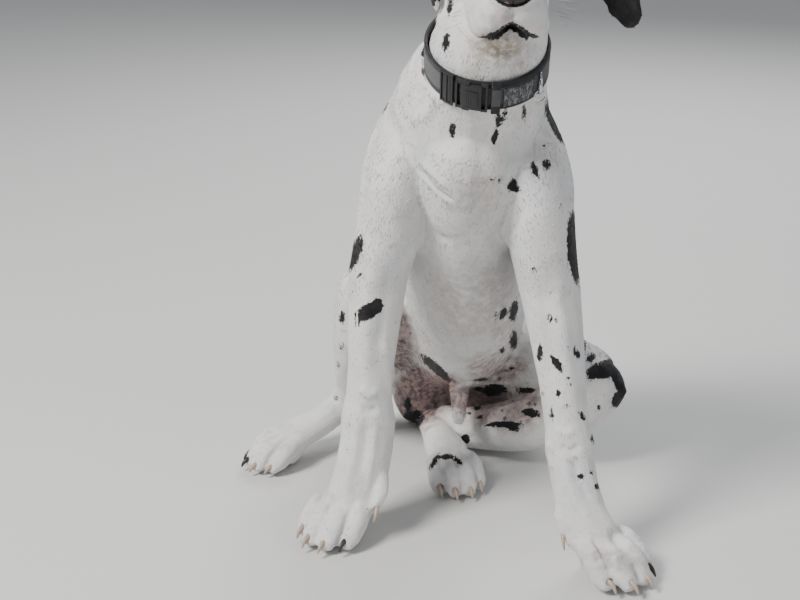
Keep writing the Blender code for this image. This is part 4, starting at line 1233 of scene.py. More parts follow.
# Strokes on one side of the head, which are mirrored to the other.
HEAD_STROKES = tuple(Stroke(*row) for row in (
    # Furrow of the brow, edge of the eye socket, fold over the upper lid, fold under the eye
    (((12.2, -8.6, 79.8), (12.4, -6.0, 82.0), (12.2, -2.5, 82.9)), 6.0, -0.9),
    (((13.2, -9.6, 79.2), (15.0, -9.0, 80.0), (17.2, -7.0, 79.3)), 5.0, 1.5),
    (((13.4, -10.2, 78.2), (14.9, -10.0, 78.75), (16.6, -8.4, 78.3)), 1.9, -1.1),
    (((13.2, -10.6, 76.9), (14.6, -10.2, 76.2), (16.6, -8.4, 76.5)), 2.2, -1.0),
    (((13.0, -11.6, 76.2), (14.8, -10.6, 75.2), (17.0, -8.0, 75.3)), 4.5, 1.0),
    # Temple hollow, cheekbone and the edge of the cheek muscle
    (((16.0, -5.0, 80.6), (17.0, -2.6, 80.8)), 11.0, -2.0),
    (((15.6, -9.0, 76.2), (17.2, -6.4, 76.6), (17.8, -3.6, 77.2)), 7.0, 1.4),
    (((15.4, -7.6, 74.6), (15.8, -6.8, 72.6), (15.6, -5.0, 70.8)), 6.0, -1.6),
    # Side of the muzzle, the pad of the whiskers and the hang of the upper lip
    (((13.2, -18.2, 74.4), (14.0, -15.0, 74.6), (14.4, -11.6, 74.4)), 7.0, -1.6),
    (((13.4, -18.0, 72.4), (14.2, -15.6, 72.0), (14.5, -12.6, 71.8)), 9.0, 1.6),
    (((14.6, -9.0, 72.6), (14.9, -7.8, 71.6), (15.0, -6.6, 70.9)), 3.0, -1.8),
    (((15.2, -8.6, 71.6), (15.6, -7.0, 70.4)), 5.0, 1.6),
    # Folds of the throat and of the side of the neck above the collar
    (((14.8, -4.4, 69.8), (15.8, -1.2, 69.6), (16.0, 2.0, 70.6)), 6.0, -1.6),
    (((14.2, -6.4, 68.6), (16.0, -2.6, 68.2), (16.4, 1.2, 69.0)), 6.0, 1.6),
    (((12.4, -11.0, 68.4), (13.6, -8.6, 68.8), (14.4, -6.4, 69.8)), 4.0, -1.4),
))

MIDDLE_STROKES = tuple(Stroke(*row) for row in (
    # The cleft below the nose, the ridge of the nose bone and the bump at the back of the skull
    (((11.3, -20.2, 72.9), (11.3, -19.9, 71.8), (11.3, -19.3, 70.8)), 2.2, -2.4),
    (((11.3, -18.0, 76.9), (11.3, -13.0, 77.5), (11.3, -10.4, 78.2)), 9.0, 1.2),
    (((11.3, -9.6, 79.0), (11.3, -7.4, 81.0), (11.3, -3.0, 82.9)), 4.0, -1.6),
    (((11.3, 2.2, 82.2), (11.3, 3.6, 80.6)), 9.0, 2.2),
))

BODY_STROKES = tuple(Stroke(*row) for row in (
    # Chest: the crease on the breast, the lower edge of the breast muscles, the groove between
    (((416, 169), (427, 180), (441, 193), (452, 199)), 2.6, -2.6),
    (((421, 163), (433, 174), (447, 187)), 5.0, 1.8),
    (((398, 214), (415, 231), (440, 238), (470, 236)), 7.0, -2.0),
    (((472, 236), (496, 238), (515, 226), (524, 206)), 7.0, -1.8),
    (((484, 128), (483, 160), (480, 200), (477, 232)), 9.0, -1.4),
    (((455, 150), (452, 180), (456, 212)), 16.0, 1.6),
    (((510, 150), (512, 180), (505, 212)), 16.0, 1.4),
    # Neck below the collar: the windpipe and the muscles beside it
    (((440, 96), (428, 112), (408, 126)), 9.0, 1.6),
    (((474, 112), (470, 132), (466, 150)), 8.0, 1.2),
    (((540, 104), (546, 122), (548, 140)), 8.0, -1.4),
    # Right foreleg: forearm muscle, tendons, wrist and pastern
    (((390, 262), (388, 292), (384, 322), (378, 350)), 8.0, -1.4),
    (((372, 262), (368, 300), (366, 340), (368, 380)), 9.0, 1.6),
    (((386, 340), (388, 372), (391, 392)), 6.0, 1.5),
    (((360, 388), (368, 396), (378, 392)), 6.0, 1.8),
    (((362, 409), (370, 412), (378, 408)), 5.0, -1.8),
    (((357, 420), (355, 446), (350, 470), (346, 498)), 6.0, 1.7),
    (((367, 424), (365, 446), (361, 472)), 4.5, -1.5),
    (((376, 424), (374, 446), (370, 474), (366, 500)), 5.0, 1.3),
    (((392, 432), (394, 446), (391, 462)), 6.0, 1.6),
    # Left foreleg
    (((541, 284), (545, 312), (548, 340), (552, 372)), 8.0, -1.5),
    (((560, 280), (562, 312), (566, 350), (570, 400)), 9.0, 1.6),
    (((556, 428), (564, 434), (576, 430)), 6.0, 1.7),
    (((560, 446), (570, 452), (580, 446)), 5.0, -1.8),
    (((548, 440), (548, 456), (552, 470)), 6.0, 1.5),
    (((564, 462), (568, 484), (578, 506), (592, 524)), 6.0, 1.5),
    (((574, 456), (579, 480), (590, 502)), 4.5, -1.4),
    (((586, 458), (592, 480), (602, 500), (616, 520)), 5.0, 1.2),
    # Belly, groin and the left shank
    (((424, 300), (424, 322), (430, 342)), 9.0, -1.2),
    (((478, 380), (496, 378), (512, 370), (524, 358)), 4.0, -1.6),
    (((486, 402), (504, 398), (524, 386), (540, 376)), 3.0, -1.6),
    (((478, 414), (500, 408), (524, 400), (542, 392)), 3.0, 1.6),
    (((450, 444), (470, 431), (500, 420), (530, 424)), 6.0, 1.6),
    (((444, 472), (446, 484)), 2.2, -1.6),
    # Round top of the left knee
    (((606, 349), (616, 355), (624, 364), (629, 374)), 14.0, 2.8),
    (((633, 386), (635, 394), (630, 404)), 9.0, -2.0),
    # Back: the row of the spine with a hollow on each side, and the hip bones
    (((8.4, 17.0, 59.7), (8.3, 21.0, 53.5), (8.7, 25.4, 46.1), (9.3, 30.5, 36.0),
      (9.4, 35.0, 26.4), (8.9, 41.5, 17.0)), 6.0, 1.6),
    (((5.8, 17.0, 58.6), (5.6, 21.4, 52.0), (5.8, 26.0, 44.0), (6.4, 31.0, 34.0),
      (6.6, 36.0, 24.0)), 12.0, -1.6),
    (((11.4, 17.0, 58.6), (11.4, 21.4, 52.0), (11.8, 26.0, 44.0), (12.2, 31.0, 34.0),
      (11.6, 36.0, 24.0)), 12.0, -1.6),
    (((3.4, 37.0, 22.5), (4.4, 38.4, 20.6)), 12.0, 2.4),
    (((13.8, 37.0, 22.5), (13.2, 38.4, 20.6)), 12.0, 2.4),
    # Shoulder blades: the raised spine and the hollow behind
    (((14.6, 11.0, 58.0), (17.8, 5.4, 52.0), (20.2, 0.4, 46.0)), 9.0, 1.8),
    (((15.6, 14.0, 53.0), (18.6, 10.4, 47.0), (19.8, 8.6, 41.0)), 11.0, -2.4),
    (((2.4, 13.4, 58.0), (-1.4, 9.0, 52.0), (-4.2, 4.2, 46.0)), 9.0, 1.8),
    (((1.4, 16.4, 53.0), (-2.0, 13.4, 47.0), (-3.6, 12.2, 41.0)), 11.0, -2.4),
    # Elbows and the groove down the outer side of each forearm
    (((19.4, 8.8, 36.6), (19.4, 8.4, 33.8)), 9.0, 3.0),
    (((-3.2, 12.8, 36.6), (-3.4, 12.6, 33.8)), 9.0, 3.0),
    (((22.8, 3.4, 33.0), (23.4, 2.0, 26.0), (23.6, 0.6, 20.0)), 5.0, -1.6),
    (((-6.8, 8.4, 33.0), (-7.2, 7.8, 26.0), (-7.2, 7.0, 20.0)), 5.0, -1.6),
    # The small pad behind each wrist
    (((21.8, 2.0, 13.6), (22.0, 1.4, 12.6)), 6.0, 3.2),
    (((-4.0, 9.6, 13.6), (-4.2, 9.2, 12.6)), 6.0, 3.2),
    # Ribs on the right side and the left
    *((((across[0], 22.0 - 3.4 * step, 42.0 + 4.2 * step),
        (across[1], 17.5 - 3.2 * step, 37.5 + 4.2 * step),
        (across[2], 12.5 - 3.0 * step, 33.5 + 4.2 * step)), 6.0, -0.9)
      for across in ((-1.2, -2.4, -0.6), (18.4, 19.4, 17.8)) for step in range(3)),
    # Thighs: the kneecap, and the groove between the muscles of the outer side
    (((-6.0, 18.4, 27.6), (-6.4, 18.6, 25.4)), 9.0, 2.4),
    (((-5.4, 34.0, 15.0), (-7.0, 29.0, 20.0), (-7.8, 25.0, 23.0)), 8.0, -2.2),
    (((31.4, 20.6, 14.0), (31.8, 21.2, 12.0)), 9.0, 2.4),
    (((16.0, 38.6, 17.6), (21.0, 33.4, 19.4), (26.0, 28.6, 18.4)), 8.0, -2.0),
    # Shanks: the hollow before the long tendon, the tendon and the point of the hock
    (((-9.4, 27.6, 16.0), (-9.4, 30.0, 12.0), (-9.4, 31.6, 8.4)), 5.0, -2.4),
    (((-7.2, 31.4, 17.0), (-7.4, 33.2, 12.0), (-7.4, 34.4, 7.6)), 5.0, 2.0),
    (((-7.4, 34.8, 6.4), (-7.6, 34.6, 4.6)), 7.0, 2.2),
    (((3.2, 29.4, 3.4), (3.0, 28.2, 4.4)), 6.0, 2.0),
))


class Sculptor:
    """Raises ridges and presses grooves into rows of points with normals."""

    def __init__(self, points: np.ndarray, normals: np.ndarray, tree: BVHTree,
                 camera: PhotoCamera) -> None:
        """Keep the surface that the strokes are placed on."""
        self.points, self.normals, self.tree, self.camera = points, normals, tree, camera
        self.raise_by = np.zeros(len(points))

    def settle(self, spot: tuple[float, ...]) -> tuple[np.ndarray, np.ndarray] | None:
        """Find a stroke point's place on the skin.

        Args:
            spot: a pixel of the photo, or a point of the table.

        Returns:
            The place and the normal there, or None where the camera sees no skin.
        """
        if len(spot) == 2:
            hit, normal, _, _ = self.tree.ray_cast(
                Vector(self.camera.eye), Vector(self.camera.ray(*spot)))
        else:
            hit, normal, _, _ = self.tree.find_nearest(Vector(table_point(spot)))
        if hit is None:
            return None
        return np.array(hit), np.array(normal)

    def add(self, stroke: Stroke, strength: float) -> None:
        """Add one stroke to the heights.

        Args:
            stroke: the ridge or groove.
            strength: what its height is multiplied by.
        """
        settled = [found for found in map(self.settle, stroke.path) if found is not None]
        if len(settled) < 2:
            return
        path = np.array([found[0] for found in settled])
        facing = np.array([found[1] for found in settled])
        width = stroke.width * MM
        low, high = path.min(axis=0) - 3 * width, path.max(axis=0) + 3 * width
        near = np.flatnonzero(((self.points > low) & (self.points < high)).all(axis=1))
        if not len(near):
            return
        best = np.full(len(near), np.inf)
        height = np.zeros(len(near))
        total = len(path) - 1
        for number in range(total):
            start, step = path[number], path[number + 1] - path[number]
            share = np.clip((self.points[near] - start) @ step / max(step.dot(step), 1e-12), 0, 1)
            distance = np.linalg.norm(self.points[near] - start - share[:, None] * step, axis=1)
            run = (number + share) / total
            fade = np.clip(np.minimum(run, 1 - run) * 5 + 0.25, 0, 1)
            normal = unit(facing[number] + facing[number + 1])
            fade *= np.clip(self.normals[near] @ normal + 0.2, 0, 1)
            nearer = distance < best
            height[nearer] = fade[nearer]
            best = np.minimum(best, distance)
        self.raise_by[near] += strength * stroke.height * MM * height * np.exp(-(best / width) ** 2)

    def result(self) -> np.ndarray:
        """Return the points moved out along their normals by the strokes' heights."""
        return self.points + self.normals * self.raise_by[:, None]


# The skin


@dataclass(frozen=True)
class EyeFrame:
    """One eye's middle and directions, and the almond opening of its lids."""

    side: int
    radius: float = EYE_RADIUS * CM
    half_wide: float = 1.16 * CM
    upper: float = 0.66 * CM
    lower: float = 0.52 * CM

    @property
    def label(self) -> str:
        """Return the name of the dog's side that the eye is on."""
        return "left" if self.side > 0 else "right"

    @property
    def centre(self) -> np.ndarray:
        """Return the middle of the eyeball."""
        return table_point((HEAD_X + self.side * EYE_SPREAD, EYE_Y, EYE_Z))

    def axes(self) -> tuple[np.ndarray, np.ndarray, np.ndarray]:
        """Return the way the eye looks, the way outwards across it, and the way up."""
        turn = math.radians(EYE_TURN)
        gaze = unit((self.side * math.sin(turn), -math.cos(turn), 0.06))
        outwards = unit(np.cross((0, 0, self.side), gaze))
        return gaze, outwards, unit(np.cross(gaze, outwards) * self.side)

    def flat(self, points: np.ndarray) -> tuple[np.ndarray, np.ndarray, np.ndarray]:
        """Return points' places outwards, upwards and ahead of the eyeball's middle."""
        gaze, outwards, up = self.axes()
        offset = points - self.centre
        return offset @ outwards, offset @ up, offset @ gaze

    def curve(self, turns: np.ndarray) -> tuple[np.ndarray, np.ndarray]:
        """Return the opening's outline at angles from its outer corner, across and up."""
        height = np.where(np.sin(turns) > 0, self.upper, self.lower)
        across = np.cos(turns)
        rise = np.sin(turns) * np.abs(np.sin(turns)) ** 0.35
        droop = -0.10 * across + 0.05 * np.cos(2 * turns)
        return across * self.half_wide, (rise + droop) * height

    def inside(self, across: np.ndarray, up: np.ndarray) -> np.ndarray:
        """Return how far within the outline places lie, as a share: 1 in the middle, 0 on it."""
        share = np.clip(np.abs(across) / self.half_wide, 0, 1)
        droop = -0.10 * across / self.half_wide
        height = np.where(up > 0, self.upper, self.lower)
        rise = np.maximum(1 - share ** 2, 0) ** 0.675 * height
        level = up - droop * height
        return np.where(share < 1, 1 - np.abs(level) / np.maximum(rise, 1e-6), -share)

    def on_ball(self, across: np.ndarray, up: np.ndarray, radius: float) -> np.ndarray:
        """Return the points on a ball round the eye that lie ahead of the flat places."""
        gaze, outwards, above = self.axes()
        ahead = np.sqrt(np.maximum(radius ** 2 - across ** 2 - up ** 2, (0.1 * radius) ** 2))
        return (self.centre + across[:, None] * outwards + up[:, None] * above
                + ahead[:, None] * gaze)


EYES = (EyeFrame(-1), EyeFrame(1))


@dataclass
class Skin:
    """The one skin over head, trunk, limbs, ears and tail."""

    camera: PhotoCamera
    swell: float = 0.4 * MM
    ear_swell: float = 1.9 * MM
    voxel: float = 2.8 * MM
    coat_depth: float = 1.2 * MM
    thin_coat: float = 0.45
    nose_seat: float = -0.35
    lip_line: float = 1.1 * MM
    lip_depth: float = 2.2 * MM
    roll_middle: float = 3.2 * MM
    roll_width: float = 2.0 * MM
    body_relief: float = 1.7
    most_triangles: int = 188000
    fair_rounds: int = 45
    fine_weight: float = 0.3
    rough_ear_weight: float = 0.45
    ear_weight: float = 0.9
    ear_rounds: int = 8
    rim_rounds: int = 14
    ear_blur: int = 16
    tip_reach: float = 7.0 * CM
    tip_growth: float = 0.25
    eye_reach: float = 1.9 * CM
    tree: BVHTree | None = None

    def gather(self) -> Mesh:
        """Return the flesh nodes' surfaces in one mesh, each swollen over its gaps."""
        builder = bmesh.new()
        for name in FLESH:
            part = opened(frame["nodes"][name].data, weld=True)
            part.normal_update()
            swell = self.ear_swell if name.startswith("ear") else self.swell
            for vert in part.verts:
                vert.co += vert.normal * swell
            mesh = closed(part, bpy.data.meshes.new(name))
            builder.from_mesh(mesh)
            bpy.data.meshes.remove(mesh)
        for eye in EYES:
            bmesh.ops.create_icosphere(builder, subdivisions=4, radius=eye.radius + 0.9 * MM,
                                       matrix=Matrix.Translation(Vector(eye.centre)))
        return closed(builder, bpy.data.meshes.new("skin"))

    def faired(self) -> Mesh:
        """Return the flesh as one surface, with the facets of the solids smoothed away."""
        mesh = one_surface(self.gather(), self.voxel)
        around = Neighbours(mesh)
        points = points_of(mesh)
        node = NODES.find(points)
        fine = on_nodes(node, "head", "jaw", "ear", "forepaw", "hind_foot", "tail_tip")
        weight = around.spread(np.where(fine, self.fine_weight, 1.0), 12)
        weight = np.where(on_nodes(node, "ear"), self.rough_ear_weight, weight)
        points = around.fair(points, weight, self.fair_rounds)
        # A thin ear is blurred, and then drawn back out to its own width.
        blurred = around.spread(points, self.ear_blur)
        smooth = 2 * blurred - around.spread(blurred, self.ear_blur)
        ears = around.spread(on_nodes(node, "ear").astype(float), 3)[:, None]
        set_points(mesh, points + (smooth - points) * ears)
        return mesh

    def refined(self, mesh: Mesh) -> Mesh:
        """Return the mesh with the front of its head cut finer, and the eyes finer still."""
        points = points_of(mesh)
        head = on_nodes(NODES.find(points), "head", "jaw") & (points[:, 1] < table_y(1.0))
        mesh = self.cut_finer(mesh, head)
        points = points_of(mesh)
        away = [apart(points, eye.centre) for eye in EYES]
        return self.cut_finer(mesh, np.minimum(*away) < self.eye_reach)

    def cut_finer(self, mesh: Mesh, chosen: np.ndarray) -> Mesh:
        """Cut the edges between chosen points in two, and smooth the new points.

        Args:
            mesh: the skin.
            chosen: for each point, whether it is chosen.

        Returns:
            The same mesh, in triangles.
        """
        builder = opened(mesh)
        edges = [edge for edge in builder.edges if all(chosen[vert.index] for vert in edge.verts)]
        bmesh.ops.subdivide_edges(builder, edges=edges, cuts=1, use_grid_fill=True, smooth=0.0)
        in_triangles(builder)
        closed(builder, mesh)
        around = Neighbours(mesh)
        points = points_of(mesh)
        fresh = np.arange(len(points)) >= len(chosen)
        set_points(mesh, around.fair(points, around.spread(fresh.astype(float), 3), 3))
        return mesh

    def mouth(self, mesh: Mesh) -> tuple[np.ndarray, np.ndarray]:
        """Return how far past the line of the mouth the mesh's points lie, and its fade.

        Args:
            mesh: the skin.

        Returns:
            The distance from the line where head and jaw meet, positive on the jaw's side, and
            a share that is 1 along the lips and 0 behind the corner of the mouth.
        """
        points, ends = points_of(mesh), edges_of(mesh)
        node = NODES.find(points)
        jaw, head = node == FLESH.index("jaw"), node == FLESH.index("head")
        across = (jaw[ends[:, 0]] & head[ends[:, 1]]) | (head[ends[:, 0]] & jaw[ends[:, 1]])
        line = points[ends[across]].mean(axis=1)
        line = line[line[:, 1] < table_y(-4.4)]
        tree = KDTree(len(line))
        for index, spot in enumerate(line):
            tree.insert(spot, index)
        tree.balance()
        past = np.full(len(points), 9.0 * CM)
        near = np.flatnonzero((jaw | head) & (points[:, 1] < table_y(-3.0))
                              & (points[:, 2] < table_point((0, 0, 76))[2]))
        past[near] = [tree.find(spot)[2] for spot in points[near]]
        past = np.where(jaw, past, -past)
        back = smooth_step(-points[:, 1], -table_y(-5.0), -table_y(-7.0))
        return past, back

    def sculpted(self, mesh: Mesh) -> Mesh:
        """Raise the ridges and press in the grooves, the folds and the line of the mouth.

        Args:
            mesh: the skin.

        Returns:
            The same mesh with its relief.
        """
        points, normals = points_of(mesh), normals_of(mesh)
        sculptor = Sculptor(points, normals, tree_of(mesh), self.camera)
        head = [half for stroke in HEAD_STROKES for half in (stroke, stroke.mirrored())]
        feet = [stroke for foot in FEET for stroke in foot.strokes()]
        for strokes, strength in ((head, 1.0), (MIDDLE_STROKES, 1.0),
                                  (BODY_STROKES, self.body_relief), (feet, 1.0)):
            for stroke in strokes:
                sculptor.add(stroke, strength)
        past, back = self.mouth(mesh)
        line = np.exp(-(past / self.lip_line) ** 2)
        rolls = np.exp(-((np.abs(past) - self.roll_middle) / self.roll_width) ** 2)
        sculptor.raise_by += back * (rolls * 0.9 * MM - line * self.lip_depth)
        set_points(mesh, sculptor.result())
        around = Neighbours(mesh)
        set_points(mesh, around.fair(points_of(mesh), np.full(len(points), 0.5), 2))
        return mesh

    def open_lids(self, mesh: Mesh) -> Mesh:
        """Return the mesh with an almond opening, a lid edge and a closed cup for each eye."""
        for eye in EYES:
            mesh = self.open_eye(mesh, eye)
        return mesh

    def open_eye(self, mesh: Mesh, eye: EyeFrame) -> Mesh:
        """Cut one eye's opening, round its edge and line its socket.

        Args:
            mesh: the skin in triangles.
            eye: the eye.

        Returns:
            The same mesh with the opening.
        """
        points = points_of(mesh)
        across, up, ahead = eye.flat(points)
        near = (ahead > 0.2 * eye.radius) & (apart(points, eye.centre) < 2.4 * eye.radius)
        share = eye.inside(across, up)
        # Lid skin lies on a ball a little larger than the eyeball, and eases into the face.
        close = near & (share > -0.9)
        lid = eye.on_ball(across[close], up[close], eye.radius + 1.5 * MM)
        blend = smooth_step(share[close], -0.9, -0.15)[:, None]
        points[close] = points[close] * (1 - blend) + lid * blend
        set_points(mesh, points)
        builder = opened(mesh)
        gone = [face for face in builder.faces
                if all(near[vert.index] and share[vert.index] > 0 for vert in face.verts)]
        bmesh.ops.delete(builder, geom=gone, context="FACES")
        loose = [vert for vert in builder.verts if not vert.link_faces]
        bmesh.ops.delete(builder, geom=loose, context="VERTS")
        rim = [edge for edge in builder.edges if edge.is_boundary
               and (edge.verts[0].co - Vector(eye.centre)).length < 2.4 * eye.radius]
        loop = self.ordered(rim)
        flat = np.array([eye.flat(np.array(vert.co)[None]) for vert in loop])[:, :, 0]
        turns = np.unwrap(np.arctan2(flat[:, 1] / eye.upper, flat[:, 0] / eye.half_wide))
        if turns[-1] < turns[0]:
            loop.reverse()
            turns = turns[::-1]
        even = np.linspace(turns[0], turns[0] + 2 * math.pi, len(loop), endpoint=False)
        turns = 0.5 * np.maximum.accumulate(turns) + 0.5 * even
        self.line_socket(builder, eye, loop, turns)
        in_triangles(builder)
        bmesh.ops.recalc_face_normals(builder, faces=builder.faces)
        return closed(builder, mesh)

    def line_socket(self, builder: BMesh, eye: EyeFrame, loop: list[BMVert],
                    turns: np.ndarray) -> None:
        """Round the edge of an opening and close it behind the eyeball with a cup.

        Args:
            builder: the skin.
            eye: the eye.
            loop: the points of the opening's edge, in order.
            turns: the angle of each round the opening.
        """
        across, up = eye.curve(turns)
        cup = eye.radius + 0.3 * MM
        for vert, spot in zip(loop, eye.on_ball(across, up, eye.radius + 1.5 * MM)):
            vert.co = spot
        places = [eye.on_ball(across * scale, up * scale, radius) for scale, radius in (
            (0.985, eye.radius + 1.1 * MM), (0.965, eye.radius + 0.25 * MM),
            (1.03, eye.radius + 0.2 * MM), (1.16, cup))]
        gaze = eye.axes()[0]
        direction = unit(eye.on_ball(across * 1.16, up * 1.16, eye.radius) - eye.centre)
        tilt = np.arccos(np.clip(direction @ gaze, -1, 1))
        sideways = unit(direction - (direction @ gaze)[:, None] * gaze)
        for share_back in (0.25, 0.5, 0.75, 0.93):
            angle = tilt + (math.pi - tilt) * share_back
            places.append(eye.centre + cup * (
                np.cos(angle)[:, None] * gaze + np.sin(angle)[:, None] * sideways))
        rings = [loop] + [[builder.verts.new(spot) for spot in place] for place in places]
        join_rings(builder, rings)
        pole = builder.verts.new(eye.centre - gaze * cup)
        for here, there in zip(rings[-1], rings[-1][1:] + rings[-1][:1]):
            builder.faces.new((here, there, pole))

    def ordered(self, rim: list[BMEdge]) -> list[BMVert]:
        """Put the points of an opening's edge in order.

        Args:
            rim: the edges round the opening.

        Returns:
            The points of the longest ring of edges, in order round it.
        """
        links: dict[BMVert, list[BMVert]] = {}
        for edge in rim:
            for here, there in (edge.verts, reversed(edge.verts)):
                links.setdefault(here, []).append(there)
        best: list[BMVert] = []
        seen: set[BMVert] = set()
        for start in links:
            if start in seen:
                continue
            loop = [start]
            seen.add(start)
            while True:
                onward = [vert for vert in links[loop[-1]] if vert not in seen]
                if not onward:
                    break
                loop.append(onward[0])
                seen.add(onward[0])
            if len(loop) > len(best):
                best = loop
        return best

    def thinned(self, mesh: Mesh) -> Mesh:
        """Return the mesh within its count of triangles, kept finest where it bends most."""
        triangles = sum(len(face.vertices) - 2 for face in mesh.polygons)
        draft = add_object("skin_draft", mesh)
        thin = draft.modifiers.new("thin", "DECIMATE")
        thin.ratio = min(1.0, self.most_triangles / triangles)
        thin.use_collapse_triangulate = True
        LOG.info("skin: %d triangles before thinning", triangles)
        return bake_modifiers(draft)

    def full_tips(self, points: np.ndarray, node: np.ndarray) -> np.ndarray:
        """Spread the tips of the ears a little in their own plane.

        Args:
            points: the skin's points.
            node: the number of each point's flesh node.

        Returns:
            The skin's points with fuller tips.
        """
        points = points.copy()
        for label in ("ear_left", "ear_right"):
            mine = np.flatnonzero(node == FLESH.index(label))
            above = points[mine][:, 2] - points[mine][:, 2].min()
            tip, above = mine[above < self.tip_reach], above[above < self.tip_reach]
            away = points[tip] - points[tip].mean(axis=0)
            thin = np.linalg.svd(away, full_matrices=False)[2][2]
            flat = away - (away @ thin)[:, None] * thin
            share = smooth_step(above, self.tip_reach, 0.4 * self.tip_reach)
            points[tip] += flat * (self.tip_growth * share)[:, None]
        return points

    def build(self) -> Object:
        """Make the skin and return its object."""
        mesh = self.faired()
        LOG.info("skin: %d points in one surface", len(mesh.vertices))
        mesh = self.refined(mesh)
        LOG.info("skin: %d points after the head is cut finer", len(mesh.vertices))
        mesh = self.sculpted(mesh)
        LOG.info("skin: sculpted")
        points, normals = points_of(mesh), normals_of(mesh)
        node = NODES.find(points)
        share = np.where(on_nodes(node, "ear", "forepaw", "hind_foot"), self.thin_coat, 1.0)
        share = np.where(nose_distance(points) < NOSE_REACH, self.nose_seat, share)
        around = Neighbours(mesh)
        depth = around.spread(share, 6) * self.coat_depth
        points = self.full_tips(points - normals * depth[:, None], node)
        ears = around.spread(on_nodes(node, "ear").astype(float), 2)
        set_points(mesh, around.fair(points, ears * self.ear_weight, self.ear_rounds))
        mesh = self.thinned(self.open_lids(mesh))
        # Thinning leaves sharp corners on the rims of the ears, which are smoothed away.
        around, points = Neighbours(mesh), points_of(mesh)
        ears = around.spread(on_nodes(NODES.find(points), "ear").astype(float), 1)
        set_points(mesh, around.fair(points, ears * self.ear_weight, self.rim_rounds))
        LOG.info("skin: thinned")
        shade_smooth(mesh)
        self.tree = tree_of(mesh)
        self.paint(mesh)
        return finish_piece("skin", mesh, CoatFinish().build("coat"), "coat", *FLESH)

    def paint(self, mesh: Mesh) -> None:
        """Write the coat's markings and lie on the mesh's points.

        Args:
            mesh: the skin, whose surface is already in the tree.
        """
        points, normals = points_of(mesh), normals_of(mesh)
        node = NODES.find(points)
        flow, lie = lie_of_coat(points, normals, node)
        black = Markings(self.camera).depth(self.tree, points, normals, flow, node)
        # Dark skin shows along the lips, on the lids and round the nose.
        past, back = self.mouth(mesh)
        lips = back * np.exp(-(past / (3.6 * MM)) ** 2)
        front = smooth_step(-points[:, 1], -table_y(-8.0), -table_y(-15.0))
        middle = np.exp(-((points[:, 0] - table_point((HEAD_X, 0, 0))[0]) / (1.5 * CM)) ** 2)
        # The coat is black in a band above the line of the mouth, which is widest below the
        # nose, and in a narrower band below the line.
        above = past + (1.8 + (7.1 + 7.0 * middle) * front) * MM
        band = np.where(past < 0, above, (1.8 + 2.6 * front) * MM - past)
        band = np.minimum(band, 1.7 * MM)
        black = np.maximum(black, np.where(back > 0.5, band, -9.0 * MM))
        for eye in EYES:
            across, up, ahead = eye.flat(points)
            rim = smooth_step(eye.inside(across, up), -0.62, -0.34) * (ahead > 0)
            away = apart(points, eye.centre) - eye.radius
            lips = np.maximum(lips, rim * (away < 3.2 * MM))
            lips = np.maximum(lips, away < 0.9 * MM)
        edge = points - table_point(NOSE_MIDDLE)
        edge = np.linalg.norm(edge[:, [0, 2]] / (1.12, 0.86), axis=1)
        lips = np.maximum(lips, smooth_step(edge, 2.20 * CM, 2.02 * CM)
                          * (points[:, 1] < table_y(-17.6)))
        blush = Blush(self.camera)
        pink = blush.amount(points, normals, node)
        ticks = np.where(on_nodes(node, "forepaw", "foreleg", "head", "jaw"), 1.1, 0.6)
        ticks = np.maximum(ticks, 3.0 * smooth_step(pink, 0.55, 0.85))
        stored = {"black": black / MM, "dark": np.clip(lips, 0, 1), "pink": pink,
                  "stain": blush.stain(points, normals, node), "ticks": ticks,
                  "shade": np.zeros(len(points)), "root": points, "lie": lie, "flow": flow}
        for name, values in stored.items():
            write_attribute(mesh, name, values)


# Small things set out along points


